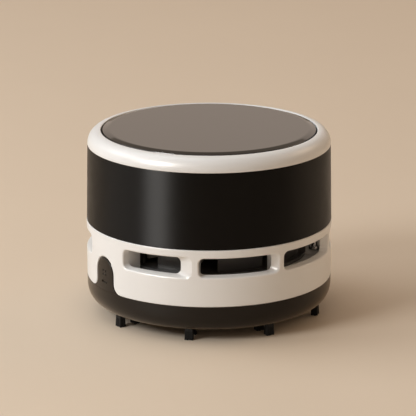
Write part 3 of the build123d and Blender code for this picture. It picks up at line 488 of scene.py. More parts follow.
class Shader:
    """Nodes of one material: a Principled shader and the pattern behind it."""

    def __init__(self, name, **fixed):
        self.material = bpy.data.materials.new(name)
        self.material.use_nodes = True
        self.tree = self.material.node_tree
        self.surface = self.tree.nodes["Principled BSDF"]
        for socket, value in fixed.items():
            self.surface.inputs[socket.replace("_", " ")].default_value = value

    def node(self, kind, settings, inputs=(), output=0):
        """One node: its settings first, then its sockets by place or name."""
        made = self.tree.nodes.new(kind)
        for key, value in settings.items():
            setattr(made, key, value)
        for key, value in inputs.items() if isinstance(inputs, dict) else enumerate(inputs):
            if isinstance(value, Value):
                self.tree.links.new(value.socket, made.inputs[key])
            else:
                made.inputs[key].default_value = value
        return Value(self, made.outputs[output])

    def place(self, turn=(0, 0, 0), scale=(1, 1, 1)):
        """Object coordinates, turned and scaled."""
        point = self.node("ShaderNodeTexCoord", {}, output="Object")
        return self.node("ShaderNodeMapping", {}, {"Vector": point, "Rotation": turn, "Scale": scale})

    def noise(self, size, detail=3.0, place=None):
        """Noise from 0 to 1 whose features are about one size across, in metres."""
        inputs = {"Vector": place or self.place(), "Scale": 1 / size, "Detail": detail}
        return self.node("ShaderNodeTexNoise", {}, inputs, "Fac")

    def bands(self, size, direction="Z", place=None):
        """Even stripes of one size, in metres, from 0 to 1."""
        settings = {"wave_type": "BANDS", "bands_direction": direction}
        inputs = {"Vector": place or self.place(), "Scale": math.pi / 10 / size}
        return self.node("ShaderNodeTexWave", settings, inputs, "Fac")

    def mixed(self, factor, first, second):
        """Colour between two colours, which are the Mix node's sockets 6 and 7."""
        inputs = {"Factor": factor, 6: (*first, 1.0), 7: (*second, 1.0)}
        return self.node("ShaderNodeMix", {"data_type": "RGBA"}, inputs, 2)

    def feed(self, socket, value):
        self.tree.links.new(value.socket, self.surface.inputs[socket])

    def bump(self, height, depth, strength=1.0):
        """Relief of a depth in metres."""
        inputs = {"Height": height, "Distance": depth, "Strength": strength}
        self.feed("Normal", self.node("ShaderNodeBump", {}, inputs))
        return self.material


def shade(rgb, factor):
    return tuple(min(1.0, c * factor) for c in rgb)


def moulded(name, rgb, roughness, grain=0.35, depth=0.006, spread=0.05, **fixed):
    """Moulded plastic: fine spark-eroded grain, faint flow marks and handling marks."""
    skin = Shader(name, IOR=1.49, Coat_Roughness=0.12, **fixed)
    flow = skin.noise(14 * MM, 2.0)
    marks = skin.noise(5 * MM, 4.0)
    skin.feed("Base Color", skin.mixed(flow, shade(rgb, 1 - spread), shade(rgb, 1 + spread)))
    skin.feed("Roughness", (roughness + (marks - 0.5) * 0.14).clamped())
    return skin.bump(skin.noise(grain * MM, 2.0), depth * MM, 0.5)


def smoked(name, rgb):
    """Polished smoked plate: mirror gloss with faint wipe marks and dust."""
    skin = Shader(name, IOR=1.52, Coat_Weight=0.35, Coat_Roughness=0.03)
    wipe = skin.noise(9 * MM, 5.0, skin.place((0, 0, 0.5), (1.0, 0.22, 1.0)))
    dust = (skin.noise(0.5 * MM, 1.0) - 0.68) * 8.0
    skin.feed("Base Color", skin.mixed(dust.clamped() * 0.25, rgb, (0.10, 0.095, 0.09)))
    skin.feed("Roughness", (0.045 + wipe * 0.05 + dust.clamped() * 0.1).clamped())
    return skin.bump(skin.noise(22 * MM, 1.0), 0.01 * MM, 0.3)


def metal(name, rgb, roughness, direction=(1, 1, 0.05), scratch=0.4):
    """Drawn or plated metal with fine marks along one direction."""
    skin = Shader(name, Metallic=1.0)
    marks = skin.noise(scratch * MM, 4.0, skin.place((0, 0, 0), direction))
    stain = skin.noise(3 * MM, 3.0)
    skin.feed("Base Color", skin.mixed(stain, shade(rgb, 0.82), shade(rgb, 1.08)))
    skin.feed("Roughness", (roughness + (marks - 0.5) * 0.3).clamped())
    return skin.bump(marks, 0.01 * MM, 0.4)


def rubber(name, rgb):
    """Matt elastomer with a bloom."""
    skin = Shader(name, Sheen_Weight=0.15, Sheen_Roughness=0.5)
    bloom = skin.noise(2.5 * MM, 4.0)
    skin.feed("Base Color", skin.mixed(bloom, shade(rgb, 0.85), shade(rgb, 1.35)))
    skin.feed("Roughness", 0.72 + bloom * 0.15)
    return skin.bump(skin.noise(0.25 * MM, 3.0), 0.02 * MM, 0.6)


def felt(name, rgb):
    """Non-woven filter felt: crossing fibres and small lumps."""
    skin = Shader(name, Roughness=0.95, Sheen_Weight=0.4, Sheen_Roughness=0.6)
    warp = skin.noise(0.5 * MM, 5.0, skin.place((0, 0, 0.6), (1, 0.12, 1)))
    weft = skin.noise(0.5 * MM, 5.0, skin.place((0, 0, -0.9), (0.12, 1, 1)))
    fibre = warp * 0.5 + weft * 0.5
    skin.feed("Base Color", skin.mixed(fibre, shade(rgb, 0.72), shade(rgb, 1.12)))
    return skin.bump(fibre + skin.noise(2 * MM) * 0.6, 0.12 * MM, 0.8)


def bristle(name, rgb):
    """Black nylon filament with lighter, worn tips."""
    skin = Shader(name, Roughness=0.5, Specular_IOR_Level=0.25)
    height = skin.node("ShaderNodeSeparateXYZ", {}, (skin.place(),), 2)
    tip = (1.0 - height * (1 / (1.2 * MM))).clamped()
    strand = skin.noise(0.3 * MM, 2.0, skin.place((0, 0, 0), (1, 1, 0.1)))
    skin.feed("Base Color", skin.mixed((tip * 0.5 + strand * 0.5).clamped(), rgb, shade(rgb, 2.6)))
    return skin.bump(strand, 0.02 * MM, 0.5)


def wound(name, rgb):
    """Enamelled copper wire laid side by side, with painted shade in the grooves between the turns."""
    skin = Shader(name, Metallic=0.85, Coat_Weight=0.5, Coat_Roughness=0.15)
    wire = skin.bands(0.32 * MM, "Z", skin.place((0.4, 0.3, 0)))
    # painted shade: the colour falls to a third of the copper's in each groove between two turns
    skin.feed("Base Color", skin.mixed(wire, shade(rgb, 0.35), rgb))
    skin.feed("Roughness", 0.25 + (1.0 - wire) * 0.3)
    return skin.bump(wire, 0.08 * MM, 0.9)


def board(name, rgb):
    """Circuit board under solder mask: copper runs show as paler, raised lines."""
    skin = Shader(name, Coat_Weight=0.4, Coat_Roughness=0.1)
    run = (skin.bands(2.2 * MM, "X") ** 6.0 + skin.bands(3.1 * MM, "Y") ** 8.0).clamped()
    skin.feed("Base Color", skin.mixed(run, rgb, shade(rgb, 1.9)))
    skin.feed("Roughness", 0.36 - run * 0.08)
    return skin.bump(run, 0.03 * MM, 0.7)


def wrapped(name, rgb):
    """Shrink film on the battery cell, with small tension wrinkles."""
    skin = Shader(name, Coat_Weight=0.6, Coat_Roughness=0.08)
    wrinkle = skin.noise(1.4 * MM, 3.0, skin.place((0, 0, 0), (0.15, 1, 1)))
    skin.feed("Base Color", skin.mixed(wrinkle, shade(rgb, 0.9), shade(rgb, 1.12)))
    skin.feed("Roughness", 0.28 + wrinkle * 0.12)
    return skin.bump(wrinkle, 0.05 * MM, 0.6)


def lens(name, rgb):
    """Frosted light guide."""
    skin = Shader(name, Transmission_Weight=0.75, IOR=1.49)
    frost = skin.noise(0.2 * MM, 2.0)
    skin.feed("Base Color", skin.mixed(frost, shade(rgb, 0.9), rgb))
    skin.feed("Roughness", 0.25 + frost * 0.2)
    return skin.bump(frost, 0.01 * MM, 0.4)


def finishes(colours):
    """Material of each slot in the frame's record."""
    shell, band, base = tuple(colours.shell), tuple(colours.band), tuple(colours.base)
    satin = {"Specular_IOR_Level": 0.20, "Anisotropic": 0.95, "Anisotropic_Rotation": 0.25}
    soft = {
        "Specular_IOR_Level": 0.22,
        "Sheen_Weight": 0.45,
        "Sheen_Roughness": 0.35,
        "Sheen_Tint": (1.0, 0.80, 0.60, 1.0),
    }
    grey = (0.055, 0.053, 0.052)
    return {
        "white_shell": moulded("white_shell", shell, 0.32, 0.3, 0.0015, 0.008, Coat_Weight=0.12),
        "band_black": moulded("band_black", band, 0.42, 0.22, 0.003, 0.10, **satin),
        "base_black": moulded("base_black", base, 0.38, 0.25, 0.006, 0.08, **soft),
        "tuft_black": bristle("tuft_black", (0.0045, 0.0045, 0.0045)),
        "collar_grey": moulded("collar_grey", (0.42, 0.42, 0.41), 0.48, 0.4, 0.010, 0.04),
        "seal_rubber": rubber("seal_rubber", (0.028, 0.028, 0.029)),
        "filter_felt": felt("filter_felt", (0.72, 0.72, 0.69)),
        "shroud_grey": moulded("shroud_grey", grey, 0.38, 0.5, 0.004, 0.06, Coat_Weight=0.1),
        "motor_steel": metal("motor_steel", (0.56, 0.56, 0.57), 0.30),
        "nylon_natural": moulded("nylon_natural", (0.62, 0.60, 0.54), 0.42, 0.5, 0.010, 0.05),
        "bush_bronze": metal("bush_bronze", (0.62, 0.40, 0.20), 0.45, (1, 1, 1), 0.2),
        "magnet_grey": moulded("magnet_grey", (0.055, 0.056, 0.060), 0.62, 0.2, 0.020, 0.15),
        "brass_contact": metal("brass_contact", (0.78, 0.60, 0.28), 0.28),
        "winding_copper": wound("winding_copper", (0.62, 0.27, 0.11)),
        "screw_steel": metal("screw_steel", (0.48, 0.48, 0.49), 0.26, (1, 1, 0.2), 0.3),
        "cell_wrap": wrapped("cell_wrap", (0.03, 0.12, 0.30)),
        "nickel_strip": metal("nickel_strip", (0.68, 0.66, 0.62), 0.22, (0.1, 1, 1)),
        "lead_red": moulded("lead_red", (0.42, 0.018, 0.014), 0.35, 0.6, 0.004, 0.05),
        "lead_black": moulded("lead_black", (0.014, 0.014, 0.014), 0.35, 0.6, 0.004, 0.05),
        "board_green": board("board_green", (0.010, 0.095, 0.035)),
        "chip_black": moulded("chip_black", (0.018, 0.018, 0.019), 0.55, 0.15, 0.015, 0.1),
        "light_lens": lens("light_lens", (0.88, 0.90, 0.92)),
        "smoked_plate": smoked("smoked_plate", tuple(colours.plate)),
    }


def finished(piece, slot, body, *nodes):
    """Gives a piece its material, and its place in the frame in place of some nodes."""
    piece.data.materials.clear()
    piece.data.materials.append(bpy.data.materials[slot])
    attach(piece, body)
    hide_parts(*nodes)


# ---- the pieces ----
def slot_places(sizes):
    """Left and right end of each slot, counted from the front, the one right of the tab first."""
    half = sizes.slot_post / 2
    side = reversed(range(sizes.slot_count // 2))
    posts = [math.pi - sizes.slot_back - sizes.slot_pitch * i for i in side]
    lefts = [sizes.slot_front] + [post + half for post in posts[:-1]]
    right_side = [(left, post - half) for left, post in zip(lefts, posts)]
    return right_side + [(-end, -start) for start, end in right_side]


def slot_tool(sizes, start, end, ramp, scoop):
    """Block that cuts one slot out of the rolled-out housing: square left end, sloped right end."""
    wall = BODY_R - HOUSING_IN_R
    left, right = start * BODY_R, end * BODY_R
    centre = SEAM + sizes.slot_rise
    inner = sizes.slot_height / 2
    outer = inner + sizes.slot_flare
    growth = (inner + scoop) / outer
    tool = bar("slot_tool", Vector((left, -wall, centre - outer)), Vector((right, 0, centre + outer)))
    with edit(tool):
        pick("FACE", lambda f: f.normal.x > 0.9)
        bpy.ops.transform.resize(value=(1, 1, growth), center_override=(right, 0, centre))
        pick("FACE", lambda f: f.normal.y > 0.9)
        bpy.ops.mesh.extrude_region_move(TRANSFORM_OT_translate={"value": (0, wall, 0)})
        bpy.ops.transform.resize(value=(1, 1, inner / outer), center_override=(left, wall, centre))
        pick("VERT", lambda v: v.co.y > wall / 2 and v.co.x > (left + right) / 2)
        bpy.ops.transform.resize(value=(1, 1, 1 / growth), center_override=(right, wall, centre))
        bpy.ops.transform.translate(value=(-ramp * BODY_R, 0, 0))
        pick("FACE", lambda f: f.normal.y > 0.9)
        bpy.ops.mesh.extrude_region_move(TRANSFORM_OT_translate={"value": (0, wall / 2, 0)})
        pick("EDGE", lambda e: abs(e.verts[0].co.y - e.verts[1].co.y) > 0.1 * MM)
        bevel(sizes.slot_corner, 7)
    return tool


TAB_STEPS = 14  # facets in each round of the tab


def tab_corners(sizes, grow, room, foot):
    """Outline of the release tab, in width and height: a round-topped tongue on a flared foot."""
    half = sizes.width / 2 + grow
    flare = sizes.flare - grow
    wide = half + flare
    run_out = wide + 40 * room  # the room tapers off into the housing's foot
    top = TAB_TOP + grow
    return [
        (-run_out, foot, 0),
        (run_out, foot, 0),
        (wide, SEAM + room, 0),
        (half, SEAM + room, flare),
        (half, top, half),
        (-half, top, half),
        (-half, SEAM + room, flare),
        (-wide, SEAM + room, 0),
    ]


class OBJECT_OT_vacuum_housing(Operator):
    """White lower housing with its exhaust slots, fins, ledge and tab notch"""

    bl_idname = "object.vacuum_housing"
    bl_label = "Lower housing"

    def execute(self, context):
        sizes = context.scene.desk_vacuum.housing
        tab = context.scene.desk_vacuum.tab
        shell = self.wall(sizes)
        places = slot_places(sizes)
        combine(shell, self.fins(sizes, [left for left, _ in places]), "UNION")
        tools = [slot_tool(sizes, *places[0], sizes.first_ramp, sizes.slot_scoop)]
        tools += [slot_tool(sizes, *place, sizes.slot_ramp, sizes.slot_flare) for place in places[1:]]
        combine(shell, joined("slots", tools))
        self.notch(shell, tab)
        with edit(shell):
            pick("EDGE", lambda e: self.on_outline(e, sizes) and is_sharp(e))
            bevel(sizes.slot_rim, 4)
            pick("EDGE", lambda e: self.on_notch(e, tab) and is_sharp(e))
            bevel(tab.notch_round, 3)
        rolled_up(shell, BODY_R)
        finished(smooth(shell), "white_shell", "motor_housing", "lower_housing")
        return {"FINISHED"}

    @staticmethod
    def wall(sizes):
        """The wall with the mount's shelf and the fan chamber's ledge on its inside."""
        foot_round = 0.3 * MM
        shelf_r = HOUSING_IN_R - 2.6 * MM
        shelf_foot = MOUNT_FOOT - 1.2 * MM
        ledge_r = HOUSING_IN_R - sizes.ledge_reach
        ledge_foot = LEDGE_TOP - sizes.ledge_thickness
        corners = [
            (HOUSING_IN_R, HOUSING_FOOT, foot_round),
            (BASE_R, HOUSING_FOOT, foot_round),
            (BODY_R, BAND_FOOT, sizes.lip_round),
            (HOUSING_IN_R, BAND_FOOT, 0),
            (HOUSING_IN_R, MOUNT_FOOT, 0),
            (shelf_r, MOUNT_FOOT, 0),
            (shelf_r, shelf_foot, 0),
            (HOUSING_IN_R, shelf_foot, 0),
            (HOUSING_IN_R, LEDGE_TOP, 0),
            (ledge_r, LEDGE_TOP, 0),
            (ledge_r, ledge_foot, 0),
            (HOUSING_IN_R, ledge_foot, 0),
        ]
        return rolled_out("housing_shell", corners, BODY_R)

    @staticmethod
    def fins(sizes, lefts):
        """One air guide at the left end of each slot, rooted in the wall and the ledge."""
        root = 0.5 * MM
        top = MOUNT_FOOT - 0.6 * MM
        wall = BODY_R - HOUSING_IN_R
        fins = []
        for left in lefts:
            corner = Vector((left * BODY_R - sizes.fin_thickness, wall - root, LEDGE_TOP - root))
            fins.append(bar("fin", corner, Vector((left * BODY_R, wall + sizes.fin_depth, top))))
        return joined("fins", fins)

    @staticmethod
    def notch(shell, tab):
        """Closes the housing behind the tab with a hood and cuts the tab's notch."""
        depth = BODY_R - TAB_IN_R + 1.6 * MM
        half = tab.width / 2 + 1.4 * MM
        foot, top = SEAM + 5 * MM, TAB_TOP + 1.8 * MM
        hood = bar("hood", Vector((-half, 0.5 * MM, foot)), Vector((half, depth + 0.9 * MM, top)))
        combine(shell, hood, "UNION")
        corners = tab_corners(tab, tab.gap, tab.swing_room, HOUSING_FOOT - CLEAR)
        combine(shell, slab("notch", corners, -CLEAR, depth, TAB_STEPS))

    @staticmethod
    def on_outline(edge, sizes):
        """True for the outer edge of a slot."""
        centre = SEAM + sizes.slot_rise
        tall = sizes.slot_height / 2 + sizes.slot_scoop + 0.3 * MM
        return all(v.co.y < SKIN and abs(v.co.z - centre) < tall for v in edge.verts)

    @staticmethod
    def on_notch(edge, tab):
        """True for the outer edge of the tab's notch."""
        wide = tab.width / 2 + tab.flare + tab.gap
        foot, top = HOUSING_FOOT + 0.4 * MM, TAB_TOP + 2 * tab.gap
        return all(v.co.y < SKIN and abs(v.co.x) < wide and foot < v.co.z < top for v in edge.verts)


class OBJECT_OT_vacuum_band(Operator):
    """Satin band with the charging port's finger recess and the light hole"""

    bl_idname = "object.vacuum_band"
    bl_label = "Body band"

    def execute(self, context):
        band = self.wall()
        self.port(band)
        low_end, high_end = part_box("light_pipe")
        pipe = (low_end + high_end) / 2
        hole = Vector((-pipe.x, 0, pipe.z))
        through = Vector((0, 3 * CLEAR, 0))
        combine(band, rod("hole", hole - through, hole + through, 1.15 * MM))
        with edit(band):
            pick("EDGE", lambda e: self.on_face(e) and is_sharp(e))
            bevel(0.22 * MM, 3)
        rolled_up(band, BAND_R)
        with edit(band):
            bpy.ops.mesh.select_all(action="SELECT")
            bpy.ops.transform.rotate(value=math.pi, orient_axis="Z", center_override=(0, 0, 0))
        finished(smooth(band), "band_black", "motor_housing", "body_band")
        return {"FINISHED"}

    @staticmethod
    def wall():
        """The wall with a sloped rib under the deck and one over the mount."""
        rib = 2.4 * MM
        rib_height = 1.2 * MM
        inner = BAND_IN_R - rib
        corners = [
            (BAND_IN_R, BAND_FOOT, 0),
            (BAND_R, BAND_FOOT, 0.3 * MM),
            (BAND_TOP_R, CROWN_FOOT, 0.25 * MM),
            (BAND_IN_R, CROWN_FOOT, 0),
            (BAND_IN_R, DECK_FOOT, 0),
            (inner, DECK_FOOT, 0),
            (inner, DECK_FOOT - rib_height, 0),
            (BAND_IN_R, DECK_FOOT - rib_height - rib, 0),
            (BAND_IN_R, MOUNT_TOP + rib_height + rib, 0),
            (inner, MOUNT_TOP + rib_height, 0),
            (inner, MOUNT_TOP, 0),
            (BAND_IN_R, MOUNT_TOP, 0),
        ]
        return rolled_out("band_shell", corners, BAND_R)

    @staticmethod
    def port(band):
        """Cuts the finger recess down to the charging port's face, and the opening through the wall."""
        port_low, port_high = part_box("charge_port")
        middle_z = (port_low.z + port_high.z) / 2
        recess, opening = BAND_R - port_high.y, 2 * CLEAR
        for margin, back in ((1.6 * MM, recess), (0.4 * MM, opening)):
            wide = (port_high.x - port_low.x) / 2 + margin
            tall = (port_high.z - port_low.z) / 2 + margin
            signs = ((-1, -1), (1, -1), (1, 1), (-1, 1))
            corners = [(wide * x, middle_z + tall * z, 0.98 * tall) for x, z in signs]
            combine(band, slab("port", corners, -CLEAR, back, 12))

    @staticmethod
    def on_face(edge):
        """True for the port's and the light hole's outer edges."""
        foot, top, side, deep = BAND_FOOT + 2 * MM, CROWN_FOOT - 2 * MM, 14 * MM, 1.3 * MM
        return abs(middle(edge).x) < side and all(v.co.y < deep and foot < v.co.z < top for v in edge.verts)


class OBJECT_OT_vacuum_crown(Operator):
    """White crown ring and the smoked push plate in it"""

    bl_idname = "object.vacuum_crown"
    bl_label = "Crown and push plate"

    def execute(self, context):
        finished(smooth(self.crown()), "white_shell", "motor_housing", "top_ring")
        finished(smooth(self.plate(), 25), "smoked_plate", "push_button", "top_plate")
        return {"FINISHED"}

    @staticmethod
    def crown():
        """Ring with a long outer round, and a skirt that fits into the band."""
        round_w = BAND_TOP_R - BORE_R
        skirt_foot = low("top_ring")
        shoulder = skirt_foot + 2.73 * MM
        skirt_in, skirt_out = BORE_R + 1.65 * MM, BAND_IN_R - 0.1 * MM
        corners = [
            (BORE_R, CROWN_TOP, 0.32 * MM),
            (BORE_R, shoulder, 0),
            (skirt_in, shoulder, 0),
            (skirt_in, skirt_foot, 0),
            (skirt_out, skirt_foot, 0),
            (skirt_out, CROWN_FOOT, 0),
            (BAND_TOP_R, CROWN_FOOT, 0.2 * MM),
            (BAND_TOP_R, CROWN_TOP, 0.985 * round_w),
        ]
        return turned("crown_ring", corners, 20, (CROWN_TOP - CROWN_FOOT) / round_w)

    @staticmethod
    def plate():
        """Disc with a wide, shallow bevel."""
        bevel_w, bevel_h = 2.1 * MM, 0.5 * MM
        corners = [
            (0, PLATE_TOP, 0),
            (0, PLATE_FOOT, 0),
            (PLATE_R, PLATE_FOOT, 0.15 * MM),
            (PLATE_R, PLATE_TOP - bevel_h, 0.16 * MM),
            (PLATE_R - bevel_w, PLATE_TOP, 0.5 * MM),
        ]
        return turned("push_plate", corners)


class OBJECT_OT_vacuum_springs(Operator):
    """Return springs between the deck and the push plate's carrier"""

    bl_idname = "object.vacuum_springs"
    bl_label = "Return springs"

    def execute(self, context):
        sizes = context.scene.desk_vacuum.springs
        foot, head = low("return_springs"), high("return_springs")
        press = next(joint for joint in frame["joints"] if joint["name"] == "plate_press")
        coil = self.coil(sizes, foot, head)
        angles = [TURN * i / sizes.count for i in range(sizes.count)]
        springs = joined("spring_coils", around(coil, sizes.ring, angles))
        bpy.data.objects.remove(coil)
        finished(smooth(springs, 50), "screw_steel", "push_button", "return_springs")
        keep = 1 - press["range_m"][1] / (head - foot)
        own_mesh(springs)
        return {"FINISHED"}

    @staticmethod
    def coil(sizes, foot, head):
        """One spring on the axis: a ring of wire screwed upwards."""
        bpy.ops.object.select_all(action="DESELECT")
        place = Vector((sizes.radius, 0, foot + sizes.wire))
        bpy.ops.mesh.primitive_circle_add(
            vertices=12, radius=sizes.wire, location=place, rotation=(TURN / 4, 0, 0)
        )
        steps = round(28 * sizes.turns)
        rise = head - foot - 2 * sizes.wire
        turn = {"angle": sizes.turns * TURN, "steps": steps, "render_steps": steps}
        coil = modified(named("coil"), "SCREW", screw_offset=rise, **turn)
        with edit(coil):
            bpy.ops.mesh.select_all(action="SELECT")
            bpy.ops.mesh.fill_holes(sides=0)
            close_up()
        return coil


class OBJECT_OT_vacuum_base(Operator):
    """Dust base with its inlet chimney and tuft sockets, and the release tab"""

    bl_idname = "object.vacuum_base"
    bl_label = "Dust base and release tab"

    def execute(self, context):
        settings = context.scene.desk_vacuum
        shell = self.bowl()
        combine(shell, self.sockets(settings.brush), "UNION")
        finished(smooth(shell), "base_black", "dust_base", "base_tray")
        self.tab(settings.tab)
        return {"FINISHED"}

    @staticmethod
    def bowl():
        """Bowl with a rounded outer corner, and the inlet's chimney in its middle."""
        corner_w, corner_h = 4.8 * MM, 6.65 * MM
        wall_r = BASE_R - 1.8 * MM
        inlet_r = 9.0 * MM
        chimney_r = inlet_r + 1.4 * MM
        chimney_top = high("base_tray")
        rim_round = 0.3 * MM
        corners = [
            (inlet_r, BASE_FOOT, 1.9 * MM),
            (BASE_R, BASE_FOOT, corner_w),
            (BASE_R, SEAM, 0),
            (wall_r, SEAM, 0.2 * MM),
            (wall_r, FLOOR_TOP, 3.4 * MM),
            (chimney_r, FLOOR_TOP, 0.8 * MM),
            (chimney_r, chimney_top, rim_round),
            (inlet_r, chimney_top, rim_round),
        ]
        return turned("base_shell", corners, 12, corner_h / corner_w)

    @staticmethod
    def sockets(brush):
        """Round bosses on the bowl's floor, which hold the roots of the tufts."""
        foot, top = Vector((0, 0, FLOOR_TOP - 0.5 * MM)), Vector((0, 0, BASE_FOOT + 4.2 * MM))
        socket = rod("socket", foot, top, 2.1 * MM, 24)
        round_edges(socket, 0.3 * MM)
        sockets = []
        for ring in tuft_rings():
            sockets += around(socket, ring, tuft_angles(brush))
        bpy.data.objects.remove(socket)
        return joined("sockets", sockets)

    @staticmethod
    def tab(sizes):
        """Release tab: modelled flat, dimpled, then bent to the base's curve."""
        corners = tab_corners(sizes, 0, 0, SEAM - 0.5 * MM)
        tab = slab("release_tongue", corners, 0, BASE_R - TAB_IN_R, TAB_STEPS)
        grip = (SEAM + TAB_TOP) / 2
        pitch, radius = sizes.dimple_pitch, sizes.dimple
        dots = []
        for x in (-pitch / 2, pitch / 2):
            for z in (grip, grip + 1.3 * MM):
                bpy.ops.object.select_all(action="DESELECT")
                bpy.ops.mesh.primitive_uv_sphere_add(
                    segments=20, ring_count=12, radius=radius, location=(x, 0, z)
                )
                dots.append(named("dot"))
        groove = grip - 2.6 * MM
        dots.append(rod("groove", Vector((-pitch, 0, groove)), Vector((pitch, 0, groove)), radius, 20))
        combine(tab, joined("grip", dots))
        with edit(tab):
            bpy.ops.mesh.select_all(action="SELECT")
            bpy.ops.mesh.bisect(plane_co=(0, 0, SEAM), plane_no=(0, 0, 1), use_fill=True, clear_inner=True)
            pick("EDGE", lambda e: on_tab_outline(e, sizes) and is_sharp(e))
            bevel(sizes.edge_round, 3)
        rolled_up(tab, BASE_R, (sizes.width + 2 * sizes.flare) / BASE_R, 28)
        finished(smooth(tab), "base_black", "release_latch", "release_tab")


def on_tab_outline(edge, sizes):
    """True for the tab's outer edge above its foot, and not for its dimples."""
    foot = SEAM + 1.2 * MM
    point = middle(edge)
    near_side = max(abs(point.x), point.z - TAB_TOP + sizes.width / 2) > sizes.width / 3
    return near_side and all(v.co.y < NEAR and v.co.z > foot for v in edge.verts)


def tuft_rings():
    """Radii of the two rings of tufts."""
    return [reach(node, BASE_FOOT) - TUFT_HALF for node in ("outer_brush_tufts", "inner_brush_tufts")]


def tuft_angles(brush):
    return [brush.start + i * brush.pitch for i in range(brush.count)]


class OBJECT_OT_vacuum_brushes(Operator):
    """Brush tufts: bundles of splayed nylon bristles in pressed ferrules"""

    bl_idname = "object.vacuum_brushes"
    bl_label = "Brush tufts"

    def execute(self, context):
        brush = context.scene.desk_vacuum.brush
        tuft = self.bundle(brush)
        names = (("outer_brush_bristles", "outer_brush_tufts"), ("inner_brush_bristles", "inner_brush_tufts"))
        for ring, (name, node) in zip(tuft_rings(), names):
            tufts = joined(name, around(tuft, ring, tuft_angles(brush)))
            finished(smooth(tufts), "tuft_black", "dust_base", node)
        bpy.data.objects.remove(tuft)
        return {"FINISHED"}

    @staticmethod
    def bundle(brush):
        """One tuft at the origin: a ferrule and its bristles."""
        root = BASE_FOOT + 2.5 * MM
        wall = 0.1 * MM
        half_w, half_d = brush.width / 2, brush.depth / 2
        corner = Vector((half_w + wall, half_d + wall, 0))
        ferrule_foot, ferrule_top = Vector((0, 0, BASE_FOOT - 0.8 * MM)), Vector((0, 0, BASE_FOOT + 0.3 * MM))
        ferrule = bar("ferrule", ferrule_foot - corner, ferrule_top + corner)
        round_edges(ferrule, 0.25 * MM)
        rng = random.Random(7)
        stray, uneven = 0.1 * MM, 0.12 * MM
        parts = [ferrule]
        for i in range(brush.across):
            for j in range(brush.deep):
                across = 2 * i / (brush.across - 1) - 1
                deep = 2 * j / (brush.deep - 1) - 1
                top = Vector((across * (half_w - brush.bristle), deep * (half_d - brush.bristle), root))
                foot = Vector((
                    top.x + across * brush.splay + rng.uniform(-stray, stray),
                    top.y + deep * brush.splay + rng.uniform(-stray, stray),
                    brush.bristle / 5 + rng.uniform(0, uneven),
                ))
                parts.append(rod("bristle", foot, top, brush.bristle, 6))
        return joined("tuft", parts)


class OBJECT_OT_vacuum_finishes(Operator):
    """Finishes of the frame's own inner pieces"""

    bl_idname = "object.vacuum_finishes"
    bl_label = "Finishes"

    def execute(self, context):
        plain = list(bpy.data.materials)
        for material in plain:
            material.name = f"plain_{material.name}"  # leaves the slot's name to the finish
        made = finishes(context.scene.desk_vacuum.colours)
        for row in frame["record"]["subparts"]:
            node = frame["nodes"][row["node"]]
            for place in node.material_slots:
                place.material = made[row["material_slot"]]
        for material in plain:
            bpy.data.materials.remove(material)
        return {"FINISHED"}


# Name, turn from the camera's side in degrees, distance, height, size, power and colour. The sheen and the
# rim lamp only put gloss on the shells, and the fill lamp puts none.
LAMPS = (
    ("key", -55, 0.85, 0.56, (0.34, 0.34), 4.6, (0.93, 0.97, 1.0)),
    ("sheen", -51, 0.85, 0.54, (0.32, 0.34), 12.5, (1.0, 0.95, 0.89)),
    ("side", -100, 1.1, 0.80, (0.9, 0.5), 5.2, (0.93, 0.97, 1.0)),
    ("top", -120, 0.55, 1.25, (0.9, 0.9), 3.6, (0.95, 0.98, 1.0)),
    ("fill", 118, 1.6, 0.55, (1.0, 0.7), 3.6, (1.0, 0.68, 0.40)),
    ("rim", 116, 1.45, 0.98, (1.1, 0.5), 4.2, (1.0, 0.76, 0.52)),
    ("backdrop", 172, 1.8, 0.52, (1.3, 0.62), 0.80, (1.0, 0.84, 0.75)),
)


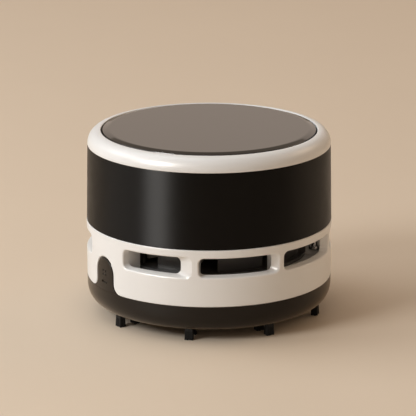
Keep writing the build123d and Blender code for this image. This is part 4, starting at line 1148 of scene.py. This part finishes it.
class OBJECT_OT_vacuum_stage(Operator):
    """Plain pale table top, soft studio lights and the camera"""

    bl_idname = "object.vacuum_stage"
    bl_label = "Stage"

    def execute(self, context):
        settings = context.scene.desk_vacuum
        bpy.ops.object.select_all(action="DESELECT")
        bpy.ops.mesh.primitive_circle_add(vertices=96, radius=4.0, fill_type="NGON")
        floor = named("table_top")
        top = Shader("table_top", Roughness=0.55)
        rgb = tuple(settings.colours.floor)
        top.feed("Base Color", top.mixed(top.noise(60 * MM, 3.0), shade(rgb, 0.985), shade(rgb, 1.015)))
        floor.data.materials.append(top.material)
        for name, turn, *rest in LAMPS:
            self.lamp(name, settings.camera.azimuth + math.radians(turn), *rest)
        for name in ("sheen", "rim"):
            bpy.data.objects[name].visible_diffuse = False
        bpy.data.objects["fill"].visible_glossy = False
        self.surroundings(settings.colours)
        self.camera(settings.camera)
        context.scene.view_settings.view_transform = "Standard"
        return {"FINISHED"}

    @staticmethod
    def lamp(name, azimuth, distance, height, size, power, rgb):
        place = polar(distance, azimuth, height)
        bpy.ops.object.light_add(type="AREA", location=place)
        lamp = bpy.context.object
        lamp.name = name
        lamp.rotation_euler = (Vector((0, 0, 40 * MM)) - place).to_track_quat("-Z", "Y").to_euler()
        lamp.data.shape = "RECTANGLE"
        lamp.data.size, lamp.data.size_y = size
        lamp.data.energy = power
        lamp.data.color = rgb
        lamp.visible_camera = False

    @staticmethod
    def surroundings(colours):
        """World that lights softly from all sides."""
        world = bpy.data.worlds.new("surroundings")
        bpy.context.scene.world = world
        world.use_nodes = True
        glow = world.node_tree.nodes["Background"]
        glow.inputs["Color"].default_value = (*colours.sky, 1.0)
        glow.inputs["Strength"].default_value = 0.382

    @staticmethod
    def camera(view):
        back = polar(math.cos(view.elevation), view.azimuth, math.sin(view.elevation))
        right = Vector((math.cos(view.azimuth), math.sin(view.azimuth), 0))
        target = right * view.target_side + Vector((0, 0, view.target_height))
        bpy.ops.object.camera_add(location=target + back * view.distance)
        camera = bpy.context.object
        camera.rotation_euler = (-back).to_track_quat("-Z", "Y").to_euler()
        camera.data.lens = view.focal
        camera.data.sensor_width = 36.0
        camera.data.clip_start = 0.05
        camera.data.clip_end = 20.0
        bpy.context.scene.camera = camera


class VIEW3D_PT_desk_vacuum(Panel):
    """Sidebar panel that lists the pieces"""

    bl_idname = "VIEW3D_PT_desk_vacuum"
    bl_label = "Desk vacuum"
    bl_space_type = "VIEW_3D"
    bl_region_type = "UI"
    bl_category = "Desk vacuum"

    def draw(self, context):
        for step in STEPS:
            self.layout.operator(step.bl_idname)
        settings = context.scene.desk_vacuum
        for part in settings.__annotations__:
            box = self.layout.box()
            group = getattr(settings, part)
            for name in group.__annotations__:
                box.prop(group, name)


GROUPS = (HousingSizes, TabSizes, SpringSizes, BrushSizes, FinishColours, CameraPlace, DeskVacuumSettings)
STEPS = (
    OBJECT_OT_vacuum_finishes,
    OBJECT_OT_vacuum_housing,
    OBJECT_OT_vacuum_band,
    OBJECT_OT_vacuum_crown,
    OBJECT_OT_vacuum_springs,
    OBJECT_OT_vacuum_base,
    OBJECT_OT_vacuum_brushes,
    OBJECT_OT_vacuum_stage,
)


def register():
    for cls in (*GROUPS, *STEPS, VIEW3D_PT_desk_vacuum):
        bpy.utils.register_class(cls)
    bpy.types.Scene.desk_vacuum = PointerProperty(type=DeskVacuumSettings)


def unregister():
    del bpy.types.Scene.desk_vacuum
    for cls in reversed((*GROUPS, *STEPS, VIEW3D_PT_desk_vacuum)):
        bpy.utils.unregister_class(cls)


def main():
    register()
    bpy.ops.object.vacuum_finishes()
    bpy.ops.object.vacuum_housing()
    bpy.ops.object.vacuum_band()
    bpy.ops.object.vacuum_crown()
    bpy.ops.object.vacuum_springs()
    bpy.ops.object.vacuum_base()
    bpy.ops.object.vacuum_brushes()
    bpy.ops.object.vacuum_stage()


if __name__ == "__main__":
    main()
